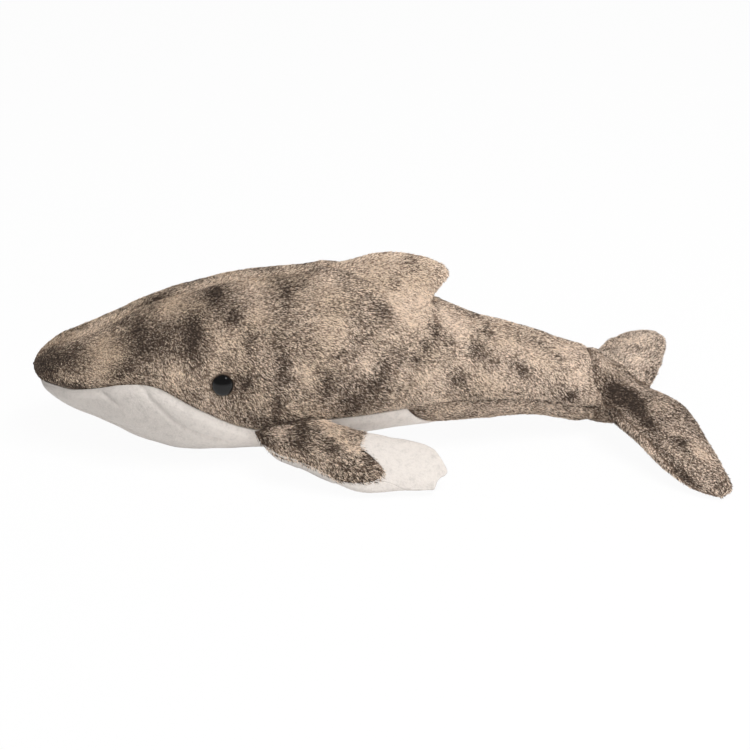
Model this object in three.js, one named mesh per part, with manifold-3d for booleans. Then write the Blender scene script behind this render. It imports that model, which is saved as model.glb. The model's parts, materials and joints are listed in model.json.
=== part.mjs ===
// Plush humpback whale, resting on its belly with both flippers spread out behind it.
//
// The nose points along -X, the back along +Z and the left flipper lies on the -Y side. The origin is
// the middle of the box round the toy, at the height of the surface that it rests on.
//
// The trunk is sewn from two side panels in mottled long pile, which meet along the back and carry half
// of the dorsal fin each, a white throat and belly panel in short pile, and a mottled gusset below the
// tail stock. The flippers and the flukes are pillows of two skins round their own filling. The eyes are
// domes on a shank, held by a washer behind the fabric. The tail folds across the stock, where a round
// end of the trunk sits in a hollow of the flukes, and each flipper swings on the hem of its root.

import * as THREE from 'three';
import { mergeVertices } from 'three/addons/utils/BufferGeometryUtils.js';
import Module from 'manifold-3d';

const wasm = await Module();
wasm.setup();

// Cloth
const SKIN = 2.4; // pile fabric, with its pile lying down
const LIMB_SKIN = 2; // the same fabric, drawn tighter round the flippers
const SEAM_GAP = 0.3; // clearance from one piece to the next
const SEAM_EDGE = 1; // half thickness of a pillow at its sewn edge

// Trunk
const TRUNK_LENGTH = 323.7; // nose tip to the fold across the tail stock
const TRUNK_WIDTH = 110; // widest place, behind the eyes
const TRUNK_HEIGHT = 103; // tallest place, at the root of the flippers
const REST_DEPTH = 0.5; // how deep the belly is pressed flat where it rests

// Round end of the trunk, on which the tail folds
const KNUCKLE_RADIUS = 20;
const KNUCKLE_HALF_WIDTH = 21;
const KNUCKLE_CLEARANCE = 0.5;
const TAIL_FOLD_HEIGHT = 28.2;
const TAIL_FOLD_LIMIT = 25; // degrees that the flukes fold up and down
const TAIL_LIP_MARGIN = 2; // degrees that the lips stay short of the trunk at that limit

// Dorsal fin
const FIN_LENGTH = 78; // from where its front edge leaves the back to its tip
const FIN_RISE = 42; // from its root inside the back to its highest place
const FIN_HALF_THICKNESS = 9;
const FIN_START = 164.5; // place of its front end, measured from the nose
const FIN_ROOT_SHARE = 0.675; // height of its root, as a share of the trunk's height
const FIN_ROWS = 14;

// Eyes
const EYE_PLACE = 113.3; // measured from the nose
const EYE_ANGLE = 78; // degrees from the back
const EYE_RADIUS = 6;
const EYE_DOME = 4.6; // how far the dome stands out
const EYE_RIM = 1.1; // straight edge below the dome
const SHANK_RADIUS = 1.9;
const SHANK_LENGTH = 9;
const SHANK_TIP = 0.7; // chamfer at the end of the shank
const WASHER_RADIUS = 7;
const WASHER_THICKNESS = 1.6;
const WASHER_SEAT = 3.8; // depth of the washer's face below the pile
const WASHER_COLLAR_RADIUS = 3.6;
const WASHER_COLLAR = 1.4; // height of the collar round the bore

// Flippers
const FLIPPER_LENGTH = 102;
const FLIPPER_REACH = 48.8; // from the hem to the outer edge
const FLIPPER_HALF_THICKNESS = 7.4;
const FLIPPER_DROOP = 36; // degrees below level, as it lies
const FLIPPER_SAG = 4; // how far its tip sinks
const SAG_POWER = 1.5;
const FLIPPER_ROOT = 41; // length of the sewn root
const FLIPPER_ROOT_START = 130; // place of the root's front end, measured from the nose
const HEM_RADIUS = 1.6;
const HEM_LIFT = 0.8; // how far the hem's middle stands out of the pile
const HEM_END = 1.5; // how far the hem stays short of each end of the root

// Flukes
const FLUKE_CHORD = 35; // from the fold to the notch
const FLUKE_HALF_SPAN = 94;
const FLUKE_SWEEP = 66; // from the fold to the tips
const FLUKE_HALF_THICKNESS = 11;
const FLUKE_DROOP = 13; // degrees that the lobes fall away from the middle
const FLUKE_ROLL = 4.5; // degrees that the left lobe lies lower than that, and the right one higher
const FLUKE_TURN = 2.5; // degrees that the left lobe lies further back, and the right one further forward
const FLUKE_CROWN = 15; // half width of the rounded middle, where the lobes don't fall yet
const LIP_OVERLAP = 2.6; // how far the mouth of the flukes reaches past the trunk's sides

// Colours
const MOTTLED = 0x8f8069;
const WHITE_PILE = 0xcfc2ba;
const WHITE_LIMB = 0xe8dfd8;
const FILLING = 0xf4f1ea;
const EYE_BLACK = 0x0c0b0b;
const WASHER_GREY = 0xd8d6d0;

const QUARTER = Math.PI / 2;
const degrees = THREE.MathUtils.degToRad;

// Trunk stations from the nose tip to the fold: place, half width, half height, height of the middle and
// flatness of the underside, as shares of the trunk's length, half its width, half its height, its height
// and a fully pressed belly
const TRUNK_SHARES = [
  [0, 0, 0, 0.452, 0],
  [0.003, 0.105, 0.062, 0.451, 0],
  [0.012, 0.215, 0.128, 0.449, 0],
  [0.022, 0.3, 0.19, 0.444, 0],
  [0.034, 0.378, 0.258, 0.438, 0],
  [0.055, 0.473, 0.346, 0.434, 0],
  [0.081, 0.564, 0.427, 0.427, 0],
  [0.108, 0.636, 0.499, 0.426, 0.1],
  [0.134, 0.709, 0.563, 0.424, 0.2],
  [0.161, 0.782, 0.632, 0.422, 0.35],
  [0.188, 0.842, 0.715, 0.421, 0.5],
  [0.22, 0.898, 0.802, 0.422, 0.7],
  [0.268, 0.964, 0.893, 0.424, 0.9],
  [0.321, 1, 0.95, 0.44, 1],
  [0.375, 1, 0.984, 0.458, 1],
  [0.428, 1, 1, 0.474, 1],
  [0.482, 0.982, 0.99, 0.496, 0.9],
  [0.536, 0.945, 0.983, 0.512, 0.8],
  [0.59, 0.891, 0.925, 0.503, 0.6],
  [0.644, 0.818, 0.854, 0.484, 0.45],
  [0.698, 0.745, 0.761, 0.45, 0.3],
  [0.752, 0.673, 0.665, 0.418, 0.2],
  [0.806, 0.6, 0.59, 0.386, 0.1],
  [0.86, 0.545, 0.54, 0.367, 0],
  [0.914, 0.491, 0.491, 0.335, 0],
  [0.966, 0.44, 0.456, 0.286, 0],
];
const PRESSED_POWER = 0.5; // how much squarer than an ellipse a fully pressed belly is
const PRESSED_SHARE = 0.075; // how much of its half height a fully pressed belly loses

// Where the side panels end: place along the trunk, and how far below the widest line, as a share of a
// quarter turn. The line rises over the jaw and falls behind the eye.
const SEAM_SHARES = [
  [0, 0.05], [0.05, 0.03], [0.104, -0.075], [0.157, -0.15], [0.184, -0.172], [0.212, -0.165],
  [0.24, -0.13], [0.265, -0.06], [0.293, 0.025], [0.32, 0.1], [0.348, 0.168], [0.375, 0.23],
  [0.405, 0.275], [0.45, 0.3], [0.51, 0.285], [0.6, 0.265], [0.663, 0.245], [0.73, 0.19], [0.8, 0.165],
  [0.88, 0.175], [0.94, 0.21], [1, 0.24], [1.1, 0.24],
];
const BELLY_END_SHARE = 0.676; // where the belly panel leaves the side seams
const BELLY_POINT_SHARE = 0.75; // where it ends, in the middle of the underside
const BELLY_POINT_POWER = 1.3;

// Outline of the dorsal fin over its root: place along the fin and height, as shares of its length and rise
const FIN_SHARES = [
  [0.02, 0.74], [0.07, 0.785], [0.14, 0.84], [0.24, 0.89], [0.34, 0.94], [0.45, 0.99], [0.55, 1.003],
  [0.66, 0.99], [0.8, 0.943], [0.917, 0.868], [0.98, 0.778], [1, 0.7], [0.985, 0.618], [0.95, 0.547],
  [0.915, 0.48], [0.888, 0.39], [0.9, 0.3],
];
const FIN_ROOT_SHARES = [[0, 0.46], [0.86, 0.05]]; // ends of the root line
const FIN_ACROSS_SHARES = [0, 0.3, 0.55, 0.75, 0.9, 1]; // places from the root to the edge

// Flipper rows from its front end: place, inner edge, outer edge and thickness, as shares of its length,
// reach, reach and half thickness
const FLIPPER_SHARES = [
  [0, 0, 0.03, 0], [0.03, 0, 0.174, 0.3], [0.094, 0, 0.373, 0.62], [0.167, 0, 0.506, 0.82],
  [0.243, 0, 0.615, 0.94], [0.316, 0, 0.734, 1], [0.392, 0, 0.83, 1], [0.468, 0.066, 0.9, 1],
  [0.539, 0.143, 0.939, 0.97], [0.61, 0.2, 0.958, 0.92], [0.632, 0.217, 0.96, 0.9], [0.68, 0.25, 0.962, 0.86],
  [0.735, 0.299, 0.967, 0.79], [0.808, 0.344, 0.984, 0.67], [0.885, 0.412, 0.998, 0.52],
  [0.913, 0.443, 1, 0.44], [0.95, 0.504, 0.922, 0.32], [0.983, 0.652, 0.85, 0.16], [1, 0.77, 0.81, 0],
];
const FLIPPER_TOP_ROWS = 10; // rows before the white tip
const ACROSS_SHARES = [0, 0.07, 0.2, 0.35, 0.5, 0.65, 0.8, 0.93, 1]; // places across a pillow
const FILLED_FROM = 2; // column where a pillow's filling starts, from either edge
const PILLOW_POWER = 0.62; // how plump a pillow is: lower is plumper

// Fluke rows from the middle out: place across, front edge, rear edge and thickness, as shares of the half
// span, the sweep, the sweep and the half thickness
const FLUKE_SHARES = [
  [0, 0, 0.523, 0.6], [0.07, 0, 0.545, 0.65], [0.147, 0, 0.62, 0.75], [0.22, 0.023, 0.705, 0.9],
  [0.262, 0.076, 0.758, 0.96], [0.31, 0.098, 0.8, 1], [0.4, 0.126, 0.845, 1], [0.5, 0.22, 0.876, 0.95],
  [0.6, 0.308, 0.906, 0.86], [0.7, 0.379, 0.939, 0.74], [0.8, 0.47, 0.962, 0.58], [0.89, 0.58, 0.985, 0.38],
  [0.95, 0.682, 0.977, 0.22], [1, 0.833, 0.894, 0],
];
// Body of the stock inside the flukes: place from the fold to the notch, half height and half width, as
// shares of the chord, the mouth's half height and its half width
const STOCK_SHARES = [
  [0, 1, 1], [0.15, 0.98, 1.04], [0.34, 0.885, 1.12], [0.5, 0.73, 1.22], [0.63, 0.56, 1.3], [0.8, 0.3, 1.36],
  [0.92, 0.12, 1.4], [1, 0.03, 1.4], [2, 0, 1.4],
];
const STOCK_POWER = 2.6; // how sharply the stock blends into the lobes

const SIDE_COLUMNS = 9; // from the back to the side seam
const BELLY_COLUMNS = 8; // from seam to seam across the underside
const KNUCKLE_ROWS = 5;
const ROUND = 24; // sides of a turned piece
const DOME_ROWS = 6; // rows from the rim to the top of an eye
const SOCKET_ROUND = 40;

// Closed geometry from points and faces: equal points are joined, faces without width are dropped, and
// the faces are turned outward
function closedGeometry(points, faces) {
  const raw = new THREE.BufferGeometry();
  raw.setAttribute('position', new THREE.Float32BufferAttribute(points.flatMap((p) => [p.x, p.y, p.z]), 3));
  raw.setIndex(faces.flat());
  const joined = mergeVertices(raw);
  const place = joined.attributes.position;
  const index = joined.index.array;
  const kept = [];
  let volume = 0;
  const [a, b, c] = [new THREE.Vector3(), new THREE.Vector3(), new THREE.Vector3()];
  for (let k = 0; k < index.length; k += 3) {
    const [i, j, m] = [index[k], index[k + 1], index[k + 2]];
    if (i === j || j === m || m === i) continue;
    kept.push([i, j, m]);
    a.fromBufferAttribute(place, i);
    b.fromBufferAttribute(place, j);
    c.fromBufferAttribute(place, m);
    volume += a.dot(b.cross(c));
  }
  joined.setIndex(kept.flatMap(([i, j, m]) => (volume < 0 ? [i, m, j] : [i, j, m])));
  return joined;
}

function solidOf(geometry) {
  const bare = geometry.clone();
  bare.deleteAttribute('normal');
  bare.deleteAttribute('uv');
  const joined = mergeVertices(bare);
  return new wasm.Manifold(new wasm.Mesh({
    numProp: 3,
    vertProperties: Float32Array.from(joined.attributes.position.array),
    triVerts: Uint32Array.from(joined.index.array),
  }));
}

function geometryOf(solid) {
  const mesh = solid.getMesh();
  const geometry = new THREE.BufferGeometry();
  geometry.setAttribute('position', new THREE.BufferAttribute(Float32Array.from(mesh.vertProperties), 3));
  geometry.setIndex(new THREE.BufferAttribute(Uint32Array.from(mesh.triVerts), 1));
  return geometry;
}

// Faces of a grid of rows and columns whose points start at `first`
function gridFaces(rows, columns, first, wraps = false) {
  const faces = [];
  for (let i = 0; i + 1 < rows; i += 1) {
    for (let j = 0; j + 1 < columns + (wraps ? 1 : 0); j += 1) {
      const next = (j + 1) % columns;
      const [p, q] = [first + i * columns + j, first + i * columns + next];
      const [r, s] = [p + columns, q + columns];
      faces.push([p, r, q], [q, r, s]);
    }
  }
  return faces;
}

// Closed sheet between an outer and an inner grid, with a rim all round
function sheet(outer, inner) {
  const [rows, columns] = [outer.length, outer[0].length];
  const count = rows * columns;
  const at = (i, j, layer) => layer * count + i * columns + j;
  const faces = gridFaces(rows, columns, 0);
  gridFaces(rows, columns, count).forEach(([p, q, r]) => faces.push([p, r, q]));
  const rim = (i, j, k, m) => {
    const [p, q, r, s] = [at(i, j, 0), at(k, m, 0), at(i, j, 1), at(k, m, 1)];
    faces.push([p, q, r], [q, s, r]);
  };
  for (let j = 0; j + 1 < columns; j += 1) {
    rim(0, j, 0, j + 1);
    rim(rows - 1, j + 1, rows - 1, j);
  }
  for (let i = 0; i + 1 < rows; i += 1) {
    rim(i + 1, 0, i, 0);
    rim(i, columns - 1, i + 1, columns - 1);
  }
  return closedGeometry([...outer.flat(), ...inner.flat()], faces);
}

// Loft of closed rings whose first and last ring are single points
function loft(rings) {
  return closedGeometry(rings.flat(), gridFaces(rings.length, rings[0].length, 0, true));
}

// Value of one column of a table along its first column, as a smooth curve
function along(table, column, place) {
  let k = 0;
  while (k + 2 < table.length && table[k + 1][0] < place) k += 1;
  const slope = (i) => {
    const [p, q] = [table[Math.max(i - 1, 0)], table[Math.min(i + 1, table.length - 1)]];
    return (q[column] - p[column]) / (q[0] - p[0]);
  };
  const [p, q] = [table[k], table[k + 1]];
  const span = q[0] - p[0];
  const t = THREE.MathUtils.clamp((place - p[0]) / span, 0, 1);
  const [t2, t3] = [t * t, t * t * t];
  return p[column] * (2 * t3 - 3 * t2 + 1) + q[column] * (3 * t2 - 2 * t3)
    + span * (slope(k) * (t3 - 2 * t2 + t) + slope(k + 1) * (t3 - t2));
}

// Stations in lengths; the last one is where the round end of the trunk starts
const stations = TRUNK_SHARES.map(([place, half, rise, middle, flat]) => ({
  x: place * TRUNK_LENGTH,
  halfWidth: half * TRUNK_WIDTH / 2,
  halfHeight: rise * TRUNK_HEIGHT / 2,
  middle: middle * TRUNK_HEIGHT,
  flat,
}));
stations.push({
  x: TRUNK_LENGTH,
  halfWidth: KNUCKLE_HALF_WIDTH,
  halfHeight: KNUCKLE_RADIUS,
  middle: TAIL_FOLD_HEIGHT,
  flat: 0,
});
const FOLD_ROW = stations.length - 1;

// Section of the trunk at row u, whose whole numbers are the stations. Past the fold the section closes as
// a body turned about the axis of the fold, so that the flukes can swing round it.
function section(u) {
  if (u > FOLD_ROW) {
    const turn = (u - FOLD_ROW) * QUARTER;
    return {
      x: TRUNK_LENGTH + KNUCKLE_RADIUS * Math.sin(turn),
      halfWidth: KNUCKLE_HALF_WIDTH * Math.cos(turn),
      halfHeight: KNUCKLE_RADIUS * Math.cos(turn),
      middle: TAIL_FOLD_HEIGHT,
      flat: 0,
    };
  }
  const k = Math.min(Math.floor(u), FOLD_ROW - 1);
  const t = u - k;
  const [a, b, c, d] = [k - 1, k, k + 1, k + 2].map((i) => stations[THREE.MathUtils.clamp(i, 0, FOLD_ROW)]);
  const value = (name) => 0.5 * (2 * b[name] + (c[name] - a[name]) * t
    + (2 * a[name] - 5 * b[name] + 4 * c[name] - d[name]) * t * t
    + (3 * b[name] - a[name] - 3 * c[name] + d[name]) * t * t * t);
  return Object.fromEntries(Object.keys(b).map((name) => [name, value(name)]));
}

// Row whose section lies at a given length from the nose
function rowAt(x) {
  let [low, high] = [0, FOLD_ROW];
  for (let n = 0; n < 40; n += 1) {
    const middle = (low + high) / 2;
    if (section(middle).x < x) low = middle;
    else high = middle;
  }
  return (low + high) / 2;
}

// Point of the pile's surface at row u and an angle from the back, positive toward the right flipper
function trunkPoint(u, angle) {
  const { x, halfWidth, halfHeight, middle, flat } = section(u);
  const [across, up] = [Math.sin(angle), Math.cos(angle)];
  const low = up < 0;
  const power = 2 + (low ? PRESSED_POWER * flat : 0);
  const reach = (Math.abs(across) ** power + Math.abs(up) ** power) ** (-1 / power);
  const height = halfHeight * (low ? 1 - PRESSED_SHARE * flat : 1);
  return new THREE.Vector3(x, halfWidth * reach * across, middle + height * reach * up);
}

const STEP = 0.01; // share of a row and of a radian over which a slope is measured
function trunkNormal(u, angle) {
  if (u < STEP) return new THREE.Vector3(-1, 0, 0);
  if (u > FOLD_ROW + 1 - STEP) return new THREE.Vector3(1, 0, 0);
  const lengthwise = trunkPoint(u + STEP, angle).sub(trunkPoint(u - STEP, angle));
  const around = trunkPoint(u, angle + STEP).sub(trunkPoint(u, angle - STEP));
  return lengthwise.cross(around).normalize();
}

const inside = (u, angle, depth) => trunkPoint(u, angle).addScaledVector(trunkNormal(u, angle), -depth);

// Angle of the side seam from the back at row u
function seamAngle(u) {
  return QUARTER * (1 + along(SEAM_SHARES, 1, section(u).x / TRUNK_LENGTH));
}

// Row where the belly panel ends, from -1 at the left seam over 0 at the middle to 1 at the right seam
function bellyEnd(across) {
  const slant = Math.abs(across) ** BELLY_POINT_POWER;
  return rowAt(THREE.MathUtils.lerp(BELLY_POINT_SHARE, BELLY_END_SHARE, slant) * TRUNK_LENGTH);
}

const trunkRows = [
  ...stations.keys(),
  ...Array.from({ length: KNUCKLE_ROWS }, (_, k) => FOLD_ROW + (k + 1) / KNUCKLE_ROWS),
];
const bellyPlaces = Array.from({ length: BELLY_COLUMNS + 1 }, (_, j) => (2 * j) / BELLY_COLUMNS - 1);
const sidePlaces = Array.from({ length: SIDE_COLUMNS + 1 }, (_, j) => j / SIDE_COLUMNS);
const roundPlaces = (side) => (side < 0 ? sidePlaces : [...sidePlaces].reverse());
const sideAngle = (u, place, side) => side * place * seamAngle(u);
// Across the underside the angle runs on from the left seam, past the middle, to the right seam
const bellyAngle = (u, across) => Math.PI - across * (Math.PI - seamAngle(u));

function moved(points, x, y, z) {
  return points.map((row) => row.map((p) => p.clone().add(new THREE.Vector3(x, y, z))));
}

// Sheet of fabric on the trunk from rows of [u, angle] pairs
function trunkSheet(rows, shiftY, shiftZ) {
  const points = (depth) => rows.map((row) => row.map(([u, angle]) => inside(u, angle, depth)));
  const layer = (depth) => moved(points(depth), 0, shiftY, shiftZ);
  return sheet(layer(0), layer(SKIN));
}

// Inside of the trunk at a depth below the pile. Its rings run down the left side, under the belly and up
// the right side.
function trunkCore(depth) {
  return loft(trunkRows.map((u) => [
    ...roundPlaces(-1).map((place) => inside(u, sideAngle(u, place, -1), depth)),
    ...bellyPlaces.slice(1, -1).map((across) => inside(u, bellyAngle(u, across), depth)),
    ...roundPlaces(1).slice(0, -1).map((place) => inside(u, sideAngle(u, place, 1), depth)),
  ]));
}

// Rows under the trunk up to and from the slanted end of the belly panel
const bellySplit = Math.floor(bellyEnd(1));
const gussetSplit = Math.ceil(bellyEnd(0)) + 1;
function bellyRows() {
  const whole = trunkRows.filter((u) => u <= bellySplit).map((u) => bellyPlaces.map(() => u));
  const end = bellyPlaces.map(bellyEnd);
  const half = end.map((u) => (u + bellySplit) / 2);
  return [...whole, half, end];
}
function gussetRows() {
  const gap = (u) => rowAt(section(u).x + SEAM_GAP);
  const start = bellyPlaces.map((across) => gap(bellyEnd(across)));
  const half = start.map((u) => (u + gussetSplit) / 2);
  return [start, half, ...trunkRows.filter((u) => u >= gussetSplit).map((u) => bellyPlaces.map(() => u))];
}
const withBellyAngles = (rows) => rows.map((row) => row.map((u, j) => [u, bellyAngle(u, bellyPlaces[j])]));

// A pillow is a grid of { mid, up, half }: a point of its middle face, the way up and the half thickness
const plump = (share) => Math.sin(Math.PI * THREE.MathUtils.clamp(share, 0, 1)) ** PILLOW_POWER;

function pillowSkin(grid, side, skin) {
  const layer = (depth) => grid.map((row) => row.map(({ mid, up, half }) => {
    const height = depth > 0 ? Math.max(half - depth, SEAM_GAP / 2) : half;
    return mid.clone().addScaledVector(up, side * height);
  }));
  return sheet(layer(0), layer(skin));
}

// Filling between the skins, over the rows that are thick enough to hold it
function pillowFilling(grid, skin) {
  const columns = grid[0].length;
  const core = (node) => node.half - skin - SEAM_GAP;
  const rows = grid.map((row) => row.slice(FILLED_FROM, columns - FILLED_FROM))
    .filter((row) => row.every((node) => core(node) > SEAM_GAP));
  const layer = (side) => rows.map((row) => row.map((node) => (
    node.mid.clone().addScaledVector(node.up, side * core(node)))));
  return sheet(layer(1), layer(-1));
}

const finRootHeight = FIN_ROOT_SHARE * TRUNK_HEIGHT;
const finOutline = new THREE.SplineCurve(FIN_SHARES.map(([place, rise]) => (
  new THREE.Vector2(FIN_START + place * FIN_LENGTH, finRootHeight + rise * FIN_RISE))));
const [finFront, finRear] = FIN_ROOT_SHARES.map(([place, rise]) => (
  new THREE.Vector2(FIN_START + place * FIN_LENGTH, finRootHeight + rise * FIN_RISE)));
const finRows = Array.from({ length: FIN_ROWS + 1 }, (_, i) => i / FIN_ROWS);

// Grid of the fin from its root inside the back to its edge, thick at the root and thin at the edge
const finGrid = finRows.map((t) => {
  const edge = finOutline.getPointAt(t);
  const root = finFront.clone().lerp(finRear, t);
  const thick = FIN_HALF_THICKNESS * Math.sin(Math.PI * THREE.MathUtils.lerp(0.14, 0.86, t));
  return FIN_ACROSS_SHARES.map((share) => {
    const p = root.clone().lerp(edge, share);
    const half = SEAM_EDGE + (thick - SEAM_EDGE) * Math.sqrt(1 - share * share);
    return { mid: new THREE.Vector3(p.x, 0, p.y), up: new THREE.Vector3(0, 1, 0), half };
  });
});

// Body of the fin at a depth below its pile, over the nodes that are thick enough
function finCore(depth) {
  const rows = finGrid.slice(2, -2).map((row) => row.slice(0, -2));
  const layer = (side) => rows.map((row) => row.map(({ mid, up, half }) => (
    mid.clone().addScaledVector(up, side * Math.max(half - depth, SEAM_GAP)))));
  return sheet(layer(1), layer(-1));
}

// Frame of the left or right root: its front end, and the way to the tail, outward and up. The hem lies on
// the side seam, a little out of the pile, and the flipper droops from it.
function flipperFrame(side) {
  const end = (x) => {
    const u = rowAt(x);
    const angle = side * seamAngle(u);
    return trunkPoint(u, angle).addScaledVector(trunkNormal(u, angle), HEM_LIFT);
  };
  const front = end(FLIPPER_ROOT_START);
  const tailward = end(FLIPPER_ROOT_START + FLIPPER_ROOT).sub(front).normalize();
  const level = new THREE.Vector3(0, 1, 0).addScaledVector(tailward, -tailward.y).normalize();
  const leftward = level.applyAxisAngle(tailward, -side * degrees(FLIPPER_DROOP));
  const upward = tailward.clone().cross(leftward);
  return new THREE.Matrix4().makeBasis(tailward, leftward, upward).setPosition(front);
}

// Grid of a flipper in that frame. Along the sewn root the inner edge lies at `root` from the hem's middle.
function flipperGrid(side, root, fromRow, toRow) {
  return FLIPPER_SHARES.slice(fromRow, toRow + 1).map(([place, inner, outer, thick]) => {
    const low = Math.max(inner * FLIPPER_REACH, root);
    const high = Math.max(outer * FLIPPER_REACH, low + SEAM_EDGE);
    const half = Math.max(thick * FLIPPER_HALF_THICKNESS, SEAM_EDGE);
    const sag = FLIPPER_SAG * place ** SAG_POWER;
    return ACROSS_SHARES.map((share) => ({
      mid: new THREE.Vector3(place * FLIPPER_LENGTH, side * THREE.MathUtils.lerp(low, high, share), -sag),
      up: new THREE.Vector3(0, 0, 1),
      half: SEAM_EDGE + (half - SEAM_EDGE) * plump(share),
    }));
  });
}

// Round hem along the root, and the groove that it lies in
function hem(radius, extra) {
  const length = FLIPPER_ROOT - 2 * (HEM_END - extra);
  const rod = new THREE.CylinderGeometry(radius, radius, length, ROUND / 2);
  return rod.rotateZ(QUARTER).translate(FLIPPER_ROOT / 2, 0, 0);
}

const LAST_FLIPPER_ROW = FLIPPER_SHARES.length - 1;

const MOUTH_HALF_HEIGHT = KNUCKLE_RADIUS + KNUCKLE_CLEARANCE + SKIN;
const MOUTH_HALF_WIDTH = KNUCKLE_HALF_WIDTH + KNUCKLE_CLEARANCE + LIP_OVERLAP;

// Half thickness of the stock inside the flukes, at a length behind the fold and a place across
function stockHalf(behind, across) {
  const share = behind / FLUKE_CHORD;
  const width = MOUTH_HALF_WIDTH * along(STOCK_SHARES, 2, share);
  const height = (MOUTH_HALF_HEIGHT - SEAM_EDGE) * Math.max(along(STOCK_SHARES, 1, share), 0);
  return height * Math.sqrt(Math.max(1 - (across / width) ** 2, 0));
}

function flukeNode(row, share, side) {
  const across = row[0] * FLUKE_HALF_SPAN;
  const out = Math.hypot(across, FLUKE_CROWN) - FLUKE_CROWN;
  const fall = out * Math.tan(degrees(FLUKE_DROOP - side * FLUKE_ROLL));
  const behind = THREE.MathUtils.lerp(row[1], row[2], share) * FLUKE_SWEEP;
  const shift = out * Math.tan(degrees(-side * FLUKE_TURN));
  const lobe = (row[3] * FLUKE_HALF_THICKNESS - SEAM_EDGE) * plump(share);
  const half = Math.max(lobe, 0) ** STOCK_POWER + stockHalf(behind, across) ** STOCK_POWER;
  return {
    mid: new THREE.Vector3(TRUNK_LENGTH + behind + shift, side * across, TAIL_FOLD_HEIGHT - fall),
    up: new THREE.Vector3(0, 0, 1),
    half: SEAM_EDGE + half ** (1 / STOCK_POWER),
  };
}

// Rows of one lobe, in the order of the whole grid. Its half starts half a seam gap from the middle.
function lobeGrid(side) {
  const rows = FLUKE_SHARES.map((row) => ACROSS_SHARES.map((share) => {
    const node = flukeNode(row, share, side);
    if (row[0] === 0) node.mid.y = side * SEAM_GAP / 2;
    return node;
  }));
  return side < 0 ? rows.reverse() : rows;
}
function flukeGrid() {
  const half = (side, rows) => rows.map((row) => ACROSS_SHARES.map((share) => flukeNode(row, share, side)));
  return [...half(-1, FLUKE_SHARES.slice(1)).reverse(), ...half(1, FLUKE_SHARES)];
}

// What the flukes leave free round the end of the trunk: its round hollow, and a wedge in front of it that
// opens far enough for the fold
function foldSpace() {
  const hollow = new THREE.SphereGeometry(1, SOCKET_ROUND, SOCKET_ROUND / 2);
  hollow.rotateZ(QUARTER / 2 / SOCKET_ROUND);
  const radius = KNUCKLE_RADIUS + KNUCKLE_CLEARANCE;
  hollow.scale(radius, KNUCKLE_HALF_WIDTH + KNUCKLE_CLEARANCE, radius);
  const reach = 2 * MOUTH_HALF_HEIGHT;
  const lean = reach * Math.tan(degrees(TAIL_FOLD_LIMIT + TAIL_LIP_MARGIN));
  const wedge = new THREE.Shape([
    new THREE.Vector2(0, 0), new THREE.Vector2(lean, reach), new THREE.Vector2(-reach, reach),
    new THREE.Vector2(-reach, -reach), new THREE.Vector2(lean, -reach),
  ]);
  const depth = 2 * (MOUTH_HALF_WIDTH + SEAM_EDGE);
  const front = new THREE.ExtrudeGeometry(wedge, { depth, bevelEnabled: false, steps: 1 })
    .rotateX(QUARTER).translate(0, depth / 2, 0);
  const space = solidOf(hollow).add(solidOf(front));
  return solidOf(geometryOf(space).translate(TRUNK_LENGTH, 0, TAIL_FOLD_HEIGHT));
}

// Frame of an eye: its middle on the pile, with the way out of the fabric along +Z
function eyeFrame(side) {
  const u = rowAt(EYE_PLACE);
  const angle = side * degrees(EYE_ANGLE);
  const out = trunkNormal(u, angle);
  const turn = new THREE.Quaternion().setFromUnitVectors(new THREE.Vector3(0, 0, 1), out);
  return new THREE.Matrix4().compose(trunkPoint(u, angle), turn, new THREE.Vector3(1, 1, 1));
}

function turned(profile, sides = ROUND) {
  return new THREE.LatheGeometry(profile.map(([r, z]) => new THREE.Vector2(r, z)), sides).rotateX(QUARTER);
}

// Dome with a straight rim, and the shank that goes through the fabric
function eyeGeometry() {
  const seat = SEAM_GAP;
  const dome = Array.from({ length: DOME_ROWS + 1 }, (_, k) => {
    const turn = (k / DOME_ROWS) * QUARTER;
    return [EYE_RADIUS * Math.cos(turn), seat + EYE_RIM + (EYE_DOME - EYE_RIM) * Math.sin(turn)];
  });
  dome[dome.length - 1][0] = 0;
  return turned([
    [0, -SHANK_LENGTH], [SHANK_RADIUS - SHANK_TIP, -SHANK_LENGTH], [SHANK_RADIUS, SHANK_TIP - SHANK_LENGTH],
    [SHANK_RADIUS, seat], [EYE_RADIUS, seat], ...dome,
  ]);
}

// Washer behind the fabric, with a collar that grips the shank
function washerGeometry() {
  const [top, bottom] = [-WASHER_SEAT, -WASHER_SEAT - WASHER_THICKNESS];
  const end = bottom - WASHER_COLLAR;
  const bore = SHANK_RADIUS + SEAM_GAP;
  return turned([
    [bore, top], [bore, end], [WASHER_COLLAR_RADIUS, end], [WASHER_COLLAR_RADIUS, bottom],
    [WASHER_RADIUS, bottom], [WASHER_RADIUS, top], [bore, top],
  ]);
}

// Space for the washer and the shank in the filling, open to the outside
function eyePocket() {
  const radius = WASHER_RADIUS + SEAM_GAP;
  const deep = -WASHER_SEAT - WASHER_THICKNESS - SEAM_GAP;
  const collar = WASHER_COLLAR_RADIUS + SEAM_GAP;
  const collarEnd = deep - WASHER_COLLAR;
  const shank = SHANK_RADIUS + SEAM_GAP;
  const shankEnd = -SHANK_LENGTH - SEAM_GAP;
  return turned([
    [0, shankEnd], [shank, shankEnd], [shank, collarEnd], [collar, collarEnd], [collar, deep],
    [radius, deep], [radius, EYE_DOME], [0, EYE_DOME],
  ]);
}
function eyeHole() {
  return new THREE.CylinderGeometry(SHANK_RADIUS + SEAM_GAP, SHANK_RADIUS + SEAM_GAP, 2 * SHANK_LENGTH, ROUND)
    .rotateX(QUARTER);
}

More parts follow.
